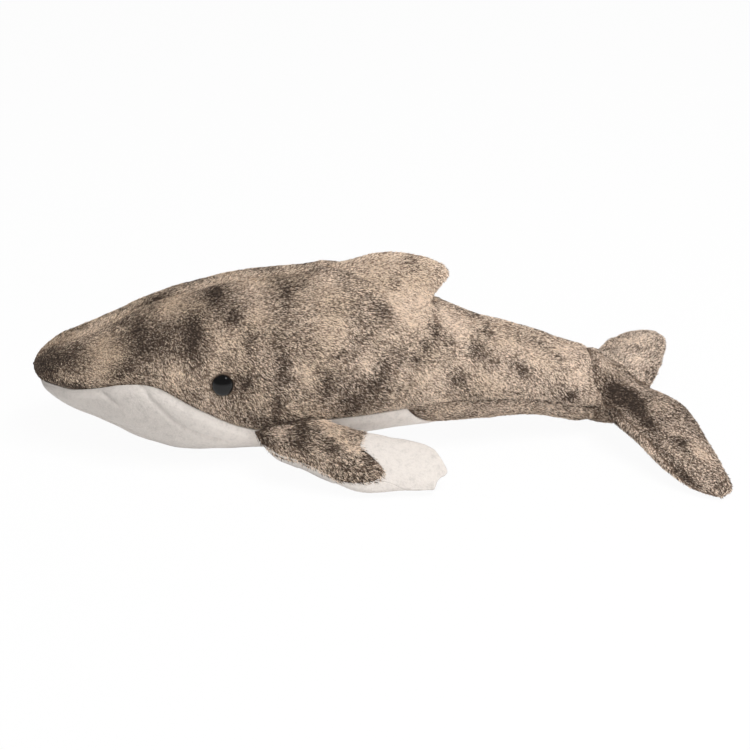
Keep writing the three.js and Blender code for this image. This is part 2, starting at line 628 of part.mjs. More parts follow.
const SIDES = [['left', -1], ['right', 1]];
const placed = (geometry, matrix) => solidOf(geometry.clone().applyMatrix4(matrix));
const eyes = new Map(SIDES.map(([name, side]) => [name, eyeFrame(side)]));
const roots = new Map(SIDES.map(([name, side]) => [name, flipperFrame(side)]));
const grooves = [...roots.values()].map((frame) => placed(hem(HEM_RADIUS + SEAM_GAP, SEAM_GAP), frame));
const cutAll = (solid, cutters) => cutters.reduce((rest, cutter) => rest.subtract(cutter), solid);

// Everything from the belly's flat down
function belowRest(level) {
  const slab = new THREE.BoxGeometry(2 * TRUNK_LENGTH, 2 * TRUNK_WIDTH, TRUNK_HEIGHT);
  return solidOf(slab.translate(TRUNK_LENGTH / 2, 0, level - TRUNK_HEIGHT / 2));
}

const whale = new THREE.Group();
whale.name = 'plush_whale';

function material(color, roughness = 0.95) {
  return new THREE.MeshStandardMaterial({ color, roughness, metalness: 0 });
}
function addMesh(parent, name, geometry, look) {
  const mesh = new THREE.Mesh(geometry, look);
  mesh.name = name;
  parent.add(mesh);
  return mesh;
}

// Side panels, each with its half of the dorsal fin
const hollow = solidOf(trunkCore(SKIN));
const finHollow = solidOf(finCore(SKIN));
for (const [name, side] of SIDES) {
  const rows = trunkRows.map((u) => roundPlaces(side).map((place) => [u, sideAngle(u, place, side)]));
  const panel = solidOf(trunkSheet(rows, side * SEAM_GAP / 2, 0));
  const fin = solidOf(pillowSkin(finGrid, side, SKIN));
  const sewn = panel.add(fin.subtract(hollow)).subtract(finHollow);
  const holed = cutAll(sewn, [placed(eyeHole(), eyes.get(name)), ...grooves]);
  addMesh(whale, `side_panel_${name}`, geometryOf(holed), material(MOTTLED));
}

// White throat and belly panel, pressed flat where the toy rests
const belly = trunkSheet(withBellyAngles(bellyRows()), 0, -SEAM_GAP);
belly.computeBoundingBox();
const restLevel = belly.boundingBox.min.z + REST_DEPTH;
const rested = cutAll(solidOf(belly), [belowRest(restLevel), ...grooves]);
addMesh(whale, 'throat_belly_panel', geometryOf(rested), material(WHITE_PILE));

// Mottled gusset below the tail stock
const gusset = trunkSheet(withBellyAngles(gussetRows()), 0, -SEAM_GAP);
addMesh(whale, 'tail_gusset', gusset, material(MOTTLED));

// Filling of the trunk, which goes up into the dorsal fin
const stuffing = solidOf(trunkCore(SKIN + SEAM_GAP)).add(solidOf(finCore(SKIN + SEAM_GAP)));
const pockets = SIDES.map(([name]) => placed(eyePocket(), eyes.get(name)));
addMesh(whale, 'body_filling', geometryOf(cutAll(stuffing, pockets)), material(FILLING));

// Eyes and their washers
for (const [name] of SIDES) {
  const group = new THREE.Group();
  eyes.get(name).decompose(group.position, group.quaternion, group.scale);
  whale.add(group);
  addMesh(group, `eye_${name}`, eyeGeometry(), material(EYE_BLACK, 0.12));
  addMesh(group, `eye_washer_${name}`, washerGeometry(), material(WASHER_GREY, 0.5));
}

// Flippers: a mottled skin and a white tip above, a white skin with the hem below, and the filling
for (const [name, side] of SIDES) {
  const group = new THREE.Group();
  roots.get(name).decompose(group.position, group.quaternion, group.scale);
  whale.add(group);
  const clear = HEM_RADIUS + SEAM_GAP;
  const top = flipperGrid(side, clear, 0, FLIPPER_TOP_ROWS - 1);
  const tip = flipperGrid(side, clear, FLIPPER_TOP_ROWS, LAST_FLIPPER_ROW);
  const whole = flipperGrid(side, clear, 0, LAST_FLIPPER_ROW);
  top.at(-1).forEach((node, j) => node.mid.copy(tip[0][j].mid).setX(tip[0][j].mid.x - SEAM_GAP));
  top.at(-1).forEach((node, j) => { node.half = tip[0][j].half; });
  addMesh(group, `flipper_${name}_top`, pillowSkin(top, 1, LIMB_SKIN), material(MOTTLED));
  addMesh(group, `flipper_${name}_tip`, pillowSkin(tip, 1, LIMB_SKIN), material(WHITE_LIMB));
  const under = solidOf(pillowSkin(flipperGrid(side, HEM_RADIUS / 2, 0, LAST_FLIPPER_ROW), -1, LIMB_SKIN));
  const hemmed = geometryOf(under.add(solidOf(hem(HEM_RADIUS, 0))));
  addMesh(group, `flipper_${name}_underside`, hemmed, material(WHITE_LIMB));
  addMesh(group, `flipper_${name}_filling`, pillowFilling(whole, LIMB_SKIN), material(FILLING));
}

// Flukes: a mottled skin on each lobe, one skin below both, and the filling
const space = foldSpace();
for (const [name, side] of SIDES) {
  const skin = solidOf(pillowSkin(lobeGrid(side), 1, SKIN)).subtract(space);
  addMesh(whale, `fluke_top_${name}`, geometryOf(skin), material(MOTTLED));
}
const underside = solidOf(pillowSkin(flukeGrid(), -1, SKIN)).subtract(space);
addMesh(whale, 'fluke_underside', geometryOf(underside), material(MOTTLED));
const flukeFilling = solidOf(pillowFilling(flukeGrid(), SKIN)).subtract(space);
addMesh(whale, 'fluke_filling', geometryOf(flukeFilling), material(FILLING));

// Origin at the middle of the box round the toy, on the surface below it
whale.updateMatrixWorld(true);
const box = new THREE.Box3().setFromObject(whale, true);
whale.position.set(-(box.min.x + box.max.x) / 2, -(box.min.y + box.max.y) / 2, -box.min.z);
whale.updateMatrixWorld(true);

export default whale;
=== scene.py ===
"""Plush humpback whale on a pale studio floor: fabric skins with seams and creases, a mottled pile of
separate strands, glossy eyes and the stuffing behind them."""

import json
import math

import bmesh
import bpy
import numpy as np
from mathutils import Matrix, Vector, bvhtree, noise

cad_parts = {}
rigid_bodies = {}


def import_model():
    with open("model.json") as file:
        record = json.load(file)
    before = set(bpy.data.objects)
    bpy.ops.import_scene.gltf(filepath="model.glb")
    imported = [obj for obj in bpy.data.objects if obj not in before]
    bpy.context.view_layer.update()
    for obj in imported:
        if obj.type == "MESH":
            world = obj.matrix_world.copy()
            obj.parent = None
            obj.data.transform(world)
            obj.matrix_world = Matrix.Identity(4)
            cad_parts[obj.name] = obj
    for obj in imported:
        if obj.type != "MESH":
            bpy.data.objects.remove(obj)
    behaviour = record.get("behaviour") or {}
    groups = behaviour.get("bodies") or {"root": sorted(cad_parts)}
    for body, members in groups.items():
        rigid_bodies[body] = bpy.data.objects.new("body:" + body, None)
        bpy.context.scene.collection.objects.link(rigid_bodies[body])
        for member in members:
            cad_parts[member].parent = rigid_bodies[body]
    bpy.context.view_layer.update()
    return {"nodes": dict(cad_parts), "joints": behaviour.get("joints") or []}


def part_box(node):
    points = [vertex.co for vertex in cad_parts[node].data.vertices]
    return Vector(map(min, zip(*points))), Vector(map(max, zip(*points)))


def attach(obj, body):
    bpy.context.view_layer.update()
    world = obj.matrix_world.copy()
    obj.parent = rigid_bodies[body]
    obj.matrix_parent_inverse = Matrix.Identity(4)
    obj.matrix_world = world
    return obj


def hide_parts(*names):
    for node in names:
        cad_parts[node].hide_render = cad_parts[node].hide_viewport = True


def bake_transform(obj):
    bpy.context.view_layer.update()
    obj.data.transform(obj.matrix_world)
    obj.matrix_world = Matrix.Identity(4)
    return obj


bl_info = {
    "name": "Plush whale",
    "version": (1, 0, 0),
    "blender": (4, 5, 0),
    "location": "3D View > Sidebar > Whale",
    "description": "Dresses the sewn pieces of a plush whale in fabric, pile and eyes",
    "category": "Object",
}

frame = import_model()
JOINTS = {joint["name"]: joint for joint in frame["joints"]}

MM = 0.001
QUARTER = math.pi / 2

# The sewing pattern, as in the part: lengths in metres, and tables of shares of them
TRUNK_LENGTH = 323.7 * MM
TRUNK_WIDTH = 110 * MM
TRUNK_HEIGHT = 103 * MM
KNUCKLE_RADIUS = 20 * MM
KNUCKLE_HALF_WIDTH = 21 * MM
FOLD_HEIGHT = 28.2 * MM
PRESSED_POWER, PRESSED_SHARE = 0.5, 0.075
FIN_LENGTH, FIN_RISE, FIN_HALF_THICKNESS = 78 * MM, 42 * MM, 9 * MM
FIN_START, FIN_ROOT_HEIGHT = 164.5 * MM, 0.675 * TRUNK_HEIGHT
EYE_RADIUS, EYE_DOME, EYE_RIM = 6 * MM, 4.6 * MM, 1.1 * MM
EYE_PLACE, EYE_ANGLE = 113.3 * MM, math.radians(78)
FLIPPER_LENGTH, FLIPPER_REACH, FLIPPER_HALF_THICKNESS = 102 * MM, 48.8 * MM, 7.4 * MM
FLIPPER_DROOP, FLIPPER_SAG, SAG_POWER = math.radians(36), 4 * MM, 1.5
FLUKE_CHORD, FLUKE_HALF_SPAN, FLUKE_SWEEP = 35 * MM, 94 * MM, 66 * MM
FLUKE_HALF_THICKNESS, FLUKE_CROWN = 11 * MM, 15 * MM
FLUKE_DROOP, FLUKE_ROLL, FLUKE_TURN = 13, 4.5, 2.5
MOUTH_HALF_HEIGHT, MOUTH_HALF_WIDTH = 22.9 * MM, 24.1 * MM
PILLOW_POWER, STOCK_POWER = 0.62, 2.6

# Place along the trunk, half width, half height, height of the middle, flatness of the underside
TRUNK_SHARES = np.array([
    (0, 0, 0, 0.452, 0), (0.003, 0.105, 0.062, 0.451, 0), (0.012, 0.215, 0.128, 0.449, 0),
    (0.022, 0.3, 0.19, 0.444, 0), (0.034, 0.378, 0.258, 0.438, 0), (0.055, 0.473, 0.346, 0.434, 0),
    (0.081, 0.564, 0.427, 0.427, 0), (0.108, 0.636, 0.499, 0.426, 0.1), (0.134, 0.709, 0.563, 0.424, 0.2),
    (0.161, 0.782, 0.632, 0.422, 0.35), (0.188, 0.842, 0.715, 0.421, 0.5), (0.22, 0.898, 0.802, 0.422, 0.7),
    (0.268, 0.964, 0.893, 0.424, 0.9), (0.321, 1, 0.95, 0.44, 1), (0.375, 1, 0.984, 0.458, 1),
    (0.428, 1, 1, 0.474, 1), (0.482, 0.982, 0.99, 0.496, 0.9), (0.536, 0.945, 0.983, 0.512, 0.8),
    (0.59, 0.891, 0.925, 0.503, 0.6), (0.644, 0.818, 0.854, 0.484, 0.45), (0.698, 0.745, 0.761, 0.45, 0.3),
    (0.752, 0.673, 0.665, 0.418, 0.2), (0.806, 0.6, 0.59, 0.386, 0.1), (0.86, 0.545, 0.54, 0.367, 0),
    (0.914, 0.491, 0.491, 0.335, 0), (0.966, 0.44, 0.456, 0.286, 0),
])
# Place along the trunk, and the side seam's drop below the widest line as a share of a quarter turn
SEAM_SHARES = np.array([
    (0, 0.95), (0.01, 0.85), (0.0195, 0.52), (0.026, 0.29), (0.034, 0.16), (0.05, 0.08), (0.104, -0.03),
    (0.157, -0.15), (0.184, -0.172), (0.212, -0.165), (0.24, -0.13), (0.265, -0.066), (0.293, 0.018),
    (0.32, 0.1), (0.348, 0.182), (0.375, 0.255), (0.405, 0.31), (0.45, 0.33), (0.51, 0.33), (0.6, 0.325),
    (0.663, 0.29), (0.73, 0.23), (0.8, 0.195), (0.88, 0.2), (0.94, 0.22), (1, 0.24), (1.1, 0.24),
])
BELLY_END_SHARE, BELLY_POINT_SHARE, BELLY_POINT_POWER = 0.667, 0.745, 1.3
# Outline of the dorsal fin over its root, and the two ends of the root
FIN_SHARES = np.array([
    (0.02, 0.74), (0.07, 0.785), (0.14, 0.84), (0.24, 0.89), (0.34, 0.94), (0.45, 0.99), (0.55, 1.003),
    (0.66, 0.985), (0.8, 0.93), (0.905, 0.852), (0.962, 0.768), (0.982, 0.69), (0.955, 0.61), (0.91, 0.54),
    (0.872, 0.47), (0.856, 0.39), (0.88, 0.3),
])
FIN_ROOT_SHARES = np.array([(0, 0.46), (0.86, 0.05)])
# Place along the flipper, inner edge, outer edge and thickness
FLIPPER_SHARES = np.array([
    (0, 0, 0.03, 0), (0.03, 0, 0.174, 0.3), (0.094, 0, 0.355, 0.62), (0.167, 0, 0.45, 0.82),
    (0.243, 0, 0.54, 0.94), (0.316, 0, 0.655, 1), (0.392, 0, 0.77, 1), (0.468, 0.066, 0.88, 1),
    (0.539, 0.143, 0.937, 0.97), (0.61, 0.2, 0.958, 0.92), (0.68, 0.25, 0.962, 0.86),
    (0.735, 0.299, 0.967, 0.79), (0.808, 0.344, 0.984, 0.67), (0.885, 0.412, 0.998, 0.52),
    (0.913, 0.443, 1, 0.44), (0.932, 0.474, 0.925, 0.38), (0.955, 0.518, 0.872, 0.3),
    (0.985, 0.66, 0.846, 0.15), (1, 0.77, 0.81, 0),
])
# Place across the flukes, front edge, rear edge and thickness
FLUKE_SHARES = np.array([
    (0, 0, 0.55, 0.6), (0.07, 0, 0.575, 0.65), (0.147, 0, 0.635, 0.75), (0.22, 0.023, 0.705, 0.9),
    (0.262, 0.076, 0.758, 0.96), (0.31, 0.098, 0.8, 1), (0.4, 0.126, 0.845, 1), (0.5, 0.22, 0.876, 0.95),
    (0.6, 0.308, 0.906, 0.86), (0.7, 0.379, 0.939, 0.74), (0.8, 0.47, 0.962, 0.58),
    (0.89, 0.58, 0.985, 0.38), (0.95, 0.682, 0.977, 0.22), (1, 0.833, 0.894, 0),
])
# Place behind the fold, half height and half width of the stock inside the flukes
STOCK_SHARES = np.array([
    (0, 1, 1), (0.15, 0.98, 1.04), (0.34, 0.885, 1.12), (0.5, 0.73, 1.22), (0.63, 0.56, 1.3),
    (0.8, 0.3, 1.36), (0.92, 0.12, 1.4), (1, 0.03, 1.4), (2, 0, 1.4),
])

# The stock's rise as it lies, above, where the filling has sunk
STOCK_TOP = np.array([
    (0, 0.99), (0.1, 0.925), (0.2, 0.83), (0.38, 0.67), (0.64, 0.48), (0.83, 0.16), (1, 0.03), (2, 0),
])
# Where the mottled print ends along a flipper, by the place across
PRINT_EDGE = np.array([
    (0, 0.59), (0.2, 0.57), (0.336, 0.555), (0.484, 0.605), (0.65, 0.65), (0.75, 0.652), (0.82, 0.625),
    (0.88, 0.575), (0.94, 0.52), (1, 0.5),
])
# How far across the top reaches, by the place along, before the white underside comes up over the front edge
WHITE_RIM = np.array([
    (0, 1), (0.13, 0.995), (0.25, 0.98), (0.33, 0.98), (0.4, 0.965), (0.45, 0.94), (0.5, 0.905),
    (0.56, 0.875), (0.62, 0.86), (0.68, 0.9), (0.76, 1), (1, 1),
])
# Creases of the throat: millimetres from the nose, place across from the middle to a side seam
PLEATS = (
    np.array([(43, 0.95), (49, 0.88), (54, 0.8)]),
    np.array([(67, 0.99), (74, 0.89), (84, 0.8), (97, 0.76), (114, 0.76)]),
    np.array([(30, 0.6), (50, 0.5), (75, 0.45)]),
)

# Printed patches on the sides: millimetres from the nose, place from the back seam to the side seam, the
# reach of the patch in both, and how much darker (below 0) or lighter it is
SIDE_PATCHES = np.array([
    (10, 0.5, 9, 0.5, -0.27), (26, 0.35, 9, 0.25, -0.16), (25, 0.9, 9, 0.1, -0.3),
    (24, 0.05, 12, 0.07, 0.15), (44, 0.35, 9, 0.3, 0.18), (52, 0.62, 9, 0.12, 0.2),
    (36, 0.75, 10, 0.12, 0.2), (63, 0.37, 9, 0.12, -0.34), (70, 0.62, 12, 0.12, -0.3),
    (58, 0.82, 8, 0.1, -0.3), (84, 0.5, 8, 0.14, -0.22), (97, 0.47, 7, 0.2, -0.42),
    (74, 0.84, 9, 0.08, -0.12), (87, 0.2, 9, 0.16, 0.2), (101, 0.25, 4, 0.08, 0.22),
    (85, 0.03, 9, 0.08, 0.2), (109, 0.14, 6, 0.12, -0.38), (119, 0.31, 5, 0.07, -0.34),
    (134, 0.23, 8, 0.14, 0.22), (126, 0.02, 8, 0.08, 0.3), (114, 0.54, 7, 0.14, 0.1),
    (87, 0.77, 5, 0.14, 0.26), (107, 0.64, 5, 0.06, 0.2), (128, 0.45, 4, 0.07, -0.3),
    (145.5, 0.55, 4, 0.1, -0.42), (148.5, 0.19, 5, 0.1, -0.32), (142, 0.83, 4, 0.1, -0.45),
    (125.5, 0.69, 5, 0.07, -0.35), (131, 0.9, 9, 0.05, -0.25), (153, 0.92, 6, 0.05, -0.15),
    (117, 0.8, 6, 0.06, -0.15), (158, 0.66, 5, 0.07, 0.25), (174, 0.12, 6, 0.07, 0.2),
    (184, 0.01, 4, 0.05, -0.42), (165, 0.3, 10, 0.15, 0.1), (179, 0.43, 8, 0.1, 0.22),
    (169.5, 0.73, 4.5, 0.08, -0.36), (184, 0.84, 7, 0.08, -0.36), (196, 0.8, 6, 0.12, -0.34),
    (202, 0.67, 4.5, 0.1, -0.36), (211, 0.56, 5, 0.06, -0.2), (193, 0.61, 5, 0.07, 0.25),
    (203, 0.295, 4, 0.07, -0.38), (203, 0.13, 8, 0.08, 0.25), (218, 0.2, 8, 0.13, 0.78),
    (219, 0.08, 9, 0.1, 0.3), (233, 0.06, 1.6, 0.05, -0.35), (231.5, 0.16, 1.6, 0.07, -0.25),
    (231.5, 0.37, 3.5, 0.1, -0.4), (226, 0.48, 4, 0.07, -0.3), (221, 0.585, 6, 0.06, -0.3),
    (240, 0.42, 3.5, 0.1, -0.38), (238, 0.23, 3, 0.1, 0.25), (247, 0.3, 5, 0.08, 0.2),
    (254, 0.44, 5, 0.1, -0.38), (263, 0.53, 5, 0.08, -0.3), (244, 0.72, 6, 0.1, -0.32),
    (247, 0.57, 4, 0.06, 0.16), (228, 0.72, 5, 0.08, 0.1), (261, 0.19, 5, 0.08, -0.2),
    (252, 0.1, 8, 0.08, 0.15), (272, 0.34, 6, 0.1, 0.18), (281, 0.6, 5, 0.1, -0.34),
    (264, 0.72, 6, 0.1, 0.1), (292, 0.45, 7, 0.12, 0.2), (293, 0.18, 4, 0.07, -0.28),
    (303, 0.34, 3, 0.06, -0.34), (307, 0.14, 8, 0.12, 0.25), (313, 0.45, 6, 0.2, 0.2),
    (310, 0.8, 6, 0.1, -0.45), (280, 0.88, 8, 0.08, -0.15), (252, 0.9, 9, 0.08, -0.15),
])

# The same on the right side, where it shows beyond the back seam
BEYOND_RIDGE = np.array([
    (12, 0.1, 8, 0.12, 0.1), (22, 0, 9, 0.14, 0.2), (38, 0, 10, 0.12, 0.15), (54, 0, 9, 0.1, 0.1),
    (74, 0, 7, 0.1, -0.35), (98, 0, 9, 0.1, 0.25), (127, 0.05, 15, 0.22, 0.34), (160, 0, 12, 0.1, 0.15),
])
# The same on each half of the fin, with the place down from its edge, and on the flippers and the tops of the
# flukes, with the places along and across as shares
FIN_PATCHES = np.array([
    (218.5, 0.1, 4, 0.12, -0.42), (210, 0.45, 5, 0.2, -0.25), (219, 0.6, 6, 0.3, 0.35),
    (234, 0.4, 6, 0.4, -0.15), (195, 0.5, 9, 0.4, 0.1), (226, 0.85, 8, 0.2, 0.2), (178, 0.4, 7, 0.4, -0.12),
])
FLIPPER_PATCHES = np.array([
    (0.12, 0.24, 0.04, 0.14, 0.3), (0.03, 0.4, 0.05, 0.5, -0.25), (0.23, 0.28, 0.06, 0.3, -0.35),
    (0.2, 0.62, 0.06, 0.2, -0.15), (0.36, 0.05, 0.06, 0.2, 0.35), (0.44, 0.26, 0.07, 0.16, 0.4),
    (0.52, 0.44, 0.06, 0.14, 0.35), (0.385, 0.5, 0.05, 0.13, -0.35), (0.59, 0.56, 0.05, 0.12, -0.3),
    (0.33, 0.8, 0.08, 0.15, 0.05), (0.5, 0.8, 0.08, 0.12, -0.05), (0.5, 0.05, 0.09, 0.12, 0.3),
])
FLUKE_PATCHES = {
    "left": np.array([
        # The first patch, a dark spot just behind the crease before the flukes, is painted shade of that
        # crease.
        (0.137, 0.03, 0.04, 0.07, -0.3), (0.2, 0.06, 0.04, 0.05, 0.12), (0.26, 0.2, 0.08, 0.15, -0.62),
        (0.34, 0.22, 0.09, 0.14, -0.55), (0.43, 0.17, 0.07, 0.12, -0.42), (0.52, 0.15, 0.08, 0.08, -0.32),
        (0.64, 0.28, 0.06, 0.08, -0.2), (0.22, 0.45, 0.06, 0.12, 0.22), (0.39, 0.53, 0.06, 0.14, 0.28),
        (0.66, 0.43, 0.03, 0.1, -0.5), (0.715, 0.38, 0.03, 0.06, -0.3), (0.735, 0.68, 0.055, 0.15, 0.5),
        (0.88, 0.1, 0.08, 0.08, -0.45), (0.74, 0.06, 0.2, 0.06, -0.3), (0.92, 0.66, 0.06, 0.25, -0.2),
        (0.56, 0.62, 0.05, 0.2, -0.12), (0.05, 0.25, 0.07, 0.2, 0.22), (0.1, 0.8, 0.08, 0.15, 0.12),
    ]),
    "right": np.array([
        (0.42, 0.41, 0.13, 0.22, 0.26), (0.57, 0.6, 0.08, 0.14, 0.2), (0.18, 0.68, 0.07, 0.15, 0.24),
        (0.63, 0.86, 0.06, 0.12, -0.34), (0.1, 0.95, 0.1, 0.08, -0.25), (0.75, 0.3, 0.08, 0.2, -0.15),
        (0.08, 0.4, 0.06, 0.2, -0.05),
    ]),
}

SIDES = (("left", -1), ("right", 1))

# What sewing and stuffing do to the cloth. A seam or crease has a depth and a width
KNUCKLE_REACH = 11 * MM  # how far the cloth of the trunk runs on below the flukes'
LAST_ROW_SHARE = 0.955  # of a panel's length, up to the fold
FRONT_POWER, FLUKE_POWER = 1.15, 1.1  # how much closer rows lie at the nose, and at the flukes' middle
THIN_BED = 0.6  # share of the pile's depth at which the cloth of the fin and the flippers' white lies
HEM, FLIPPER_HEM, GROUND = 0.2 * MM, 0.15 * MM, 0.3 * MM  # half thickness at edges; the belly's least height
NOSE_BLUNT, NOSE_FADE = 3 * MM, 6 * MM  # how far back the tip is pressed, and where seams are at full depth
LUMPS = ((24 * MM, 0.6 * MM), (11 * MM, 0.3 * MM))  # size and height of the unevenness of the stuffing
RIDGE_TURN, RIDGE_PLACE = -0.24, (30 * MM, 19 * MM)  # how far the back seam leans on the snout, and where
FILLET = 9 * MM  # reach of the soft fold between the back and the fin
FIN_FRONT, FIN_REAR = FIN_START + 0.03 * FIN_LENGTH, FIN_START + 0.86 * FIN_LENGTH  # where it leaves the back
FIN_FOOT = 7.2 * MM  # half its thickness there
FIN_FOLD, FIN_FOLD_PLACE, FIN_FOLD_SLANT = (1.2 * MM, 2.2 * MM), 235 * MM, 18 * MM  # the fold behind the fin
FIN_FOLD_START, FIN_FOLD_END, CREASE_START = (0.04, 0.06), (0.36, 0.12), (0.12, 0.3)  # down a side panel
BACK_SEAM, SIDE_CREASE, EYE_DIMPLE = (1.2 * MM, 2.2 * MM), (1.1 * MM, 4 * MM), (0.8 * MM, 10 * MM)
BELLY_END_SEAM, THROAT_PLEAT, THROAT_HALF_WIDTH = (0.7 * MM, 3 * MM), (1.1 * MM, 0.9 * MM), 35 * MM
TOP_CREASE, UNDER_CREASE, RIM_SEAM = (1.4 * MM, 5 * MM), (0.2 * MM, 4.2 * MM), (1.3 * MM, 2 * MM)

# The tail stock before the flukes. A run is the place where something begins, and the length of its growth
TAIL_LIFT, LIFT_RUN = 2.3 * MM, (304 * MM, 18 * MM)  # how much fuller its top is
TAIL_SAG, SAG_RUN = 2.6 * MM, (308 * MM, 14 * MM)  # and how much lower it hangs below
CREASE_TUCK, TUCK_RUN = 1.5 * MM, (318.5 * MM, 7 * MM)  # how far it is drawn in on its way to their seam
UNDER_TUCK, UNDER_RUN = 2.6 * MM, (TRUNK_LENGTH - 0.5 * MM, 3.5 * MM)  # and then goes in under their cloth
SIDE_FULLNESS, FULL_RUN = 7 * MM, (TRUNK_LENGTH - 8 * MM, 17 * MM)  # how much fuller it stays at the sides
BESIDE_FROM, BESIDE_TO = (1, 0.6), (2.75, 0.6)  # between these angles from the back

# The sewn root of a flipper: where it begins and ends, how full the cloth is there and how far it is drawn in
ROOT_START, ROOT_END, ROOT_FULLNESS, ROOT_DRAW = 0.07, (0.3, 0.16), 0.62, 0.07

# The flukes, with places across as shares: the seam on top of a lobe's front edge, how far that edge is turned
# up, how much narrower the sewn mouth is than the cloth behind it, and how far the rear sinks between the lobes
RIM_SHARE, RIM_START, RIM_END = 0.1, (0.25, 0.12), (0.72, 0.24)
EDGE_ROLL, ROLL_START, ROLL_REACH = 2.4 * MM, (0.2, 0.2), 0.2
MOUTH_DRAW, MOUTH_DEPTH, MOUTH_END = 0.18, 5 * MM, (0.3, 0.05)
MIDDLE_FALL, MIDDLE_WIDTH, MIDDLE_RUN = 5 * MM, 15 * MM, 40 * MM
# Folds in the right lobe's edges, front 1 or rear 2: how far back, and their place and reach across
RIGHT_LOBE = (
    (1, 5 * MM, 0.36, 0.13), (2, 3.2 * MM, 0.13, 0.12), (2, -3 * MM, 0.92, 0.06), (2, -2.8 * MM, 0.37, 0.18))

# A full one has twice as many both ways
SIDE_FACES, FIN_FACES, BELLY_FACES, GUSSET_FACES = (85, 36), (40, 14), (100, 75), (38, 26)
PRINT_FACES, TIP_FACES, UNDER_FACES, FLUKE_FACES = (44, 26), (26, 26), (60, 34), (48, 24)

# The print: its strength, how dark the painted shade along the gusset's seams and the flippers' sewn roots is
# and how wide it is at the seams, and the seeds of noise and pile
PATCH_STRENGTH, SEAM_PAINTED_SHADE, ROOT_PAINTED_SHADE, GROOVE_SHADE_WIDTH = 1.3, 0.34, 0.45, 1.4 * MM
WHITE_TONE, THROAT_PAINTED_SHADE, BELLY_PAINTED_LIGHT, BELLY_LIGHT_RUN = 0.5, 0.455, 0.205, (0.62, 0.2)  # of the white cloth: its plain tone, then painted shade at the throat giving way to painted light below the rear of the belly
BASE_TONE, BASE_RISE, BASE_RUN = 0.04, 0.15, (180, 50)  # of the print, in millimetres from the nose
GUSSET_TONE, FLIPPER_TONE, FLUKE_TONE, UNDER_TONE = 0.14, -0.06, 0.03, 0.1
FIN_TONE, FIN_FOLLOWS, FIN_ROOT = 0.3, 0.4, (0.5, 0.4)  # its own, the back's share, and where that takes over
GUSSET_SHADE_RUN, PAINTED_ROOT_REACH, PAINTED_ROOT_END = (222, 22), 0.06, (0.36, 0.08)  # where that painted shade runs
PANEL_GIRTH, GUSSET_WIDTH = 1.6, 60 * MM  # down a side panel as a share of the half width, and across
SIDE_PRINT, GUSSET_PRINT, FLIPPER_PRINT, FLUKE_PRINT = 2, 9, 12, 20
HUE_SEED, LUMP_SEED, FIBRE_SEED = 50, 31, 30
SIDE_PILE, FLUKE_PILE, FLIPPER_PILE, LOWER_PILE = 40, 50, 54, 60

# Filling, eyes and pile
EYE_SINK, EYE_SKIRT = 1.7 * MM, 1.1 * MM  # how deep the eyes sit in the pile, and how much taller they are
SIDE_PARTS = (("front", -20, 112), ("middle", 112, 205), ("rear", 205, 400))  # millimetres from the nose
FLIPPER_STRAND, ROOT_DEPTH, BLADE_POINTS = 3.1 * MM, 0.3 * MM, 5
LENGTHS, LIFTS, WIDTHS = (0.65, 1.2), (0.5, 1.45), (0.6, 1.25)  # ranges among strands, as shares
TINT_SPREAD, SWING_SPREAD, TWIST_SPREAD = 0.2, math.radians(17), math.radians(24)
WHIRL, WHIRL_SIZE, TUFT_SIZE = math.radians(22), 6 * MM, 4 * MM  # how strands turn and rise together
FLOOR_SIZE, FLOOR_DROP = 4, 0.1 * MM
WELD, SAME = 0.02 * MM, 0.001 * MM  # distances within which points of cloth, and of solids, are joined

LAMPS = (  # place, width, and strength as a share of the key light's
    ("key", (0.3, -0.55, 1.35), 0.9, 1.0),
    ("top", (0.6, -0.3, 1.45), 0.25, 0.33),
    ("fill", (0.75, -1.4, 0.25), 1.1, 0.42),
)
LAMP_AIM, CAMERA_AIM = Vector((0, 0, 0.05)), Vector((0.0034, 0, 0.0346))
WHITE = (1, 1, 1, 1)


def number(name, description, default, **more):
    return bpy.props.FloatProperty(name=name, description=description, default=default, **more)


def measure(name, description, default, low, high):
    return number(name, description, default, min=low, max=high, unit="LENGTH")


def paint(name, description, default):
    return bpy.props.FloatVectorProperty(
        name=name, description=description, default=default, size=3, min=0, max=1, subtype="COLOR")


class WhaleSizes(bpy.types.PropertyGroup):
    """Sizes of the fabric and its pile"""

    pile: measure("Pile length", "Length of a strand of the mottled pile", 0.0025, 0.001, 0.02)
    strand: measure("Strand width", "Width of a strand where it is widest", 0.00035, 0.0001, 0.002)
    density: number("Strands per square millimetre", "How closely the strands stand", 5, min=0.1, max=6)
    lift: number(
        "Lift", "Angle between the backing and a strand at its root", math.radians(27),
        min=0, max=QUARTER, subtype="ANGLE")
    bed: measure("Pile depth", "How far the backing lies below the outline of the pile", 0.0011, 0, 0.004)
    backing: measure("Backing", "Thickness of the cloth without its pile", 0.0009, 0.0002, 0.003)
    seam_depth: measure("Seam depth", "How far a sewn edge is drawn in", 0.0022, 0, 0.006)
    seam_width: measure("Seam width", "How far from a seam the cloth rounds over", 0.0036, 0.0005, 0.02)


class WhaleColours(bpy.types.PropertyGroup):
    """Colours of the fabric and the fittings"""

    dark: paint("Dark pile", "Colour of the darkest strands", (0.05, 0.0365, 0.029))
    brown: paint("Brown pile", "Colour between the dark and the light strands", (0.28, 0.2, 0.149))
    straw: paint(
        "Straw pile", "Colour of the yellower light strands, more of them on the head", (0.84, 0.672, 0.495))
    cream: paint(
        "Cream pile", "Colour of the pinker light strands, more of them toward the tail",
        (0.93, 0.762, 0.622))
    white: paint("White pile", "Colour of the throat, the belly and the flipper tips", (0.715, 0.66, 0.613))
    filling: paint("Filling", "Colour of the stuffing", (0.85, 0.83, 0.79))
    eye: paint("Eye", "Colour of the eyes", (0.003, 0.0028, 0.0028))
    washer: paint("Washer", "Colour of the washers behind the eyes", (0.72, 0.71, 0.68))


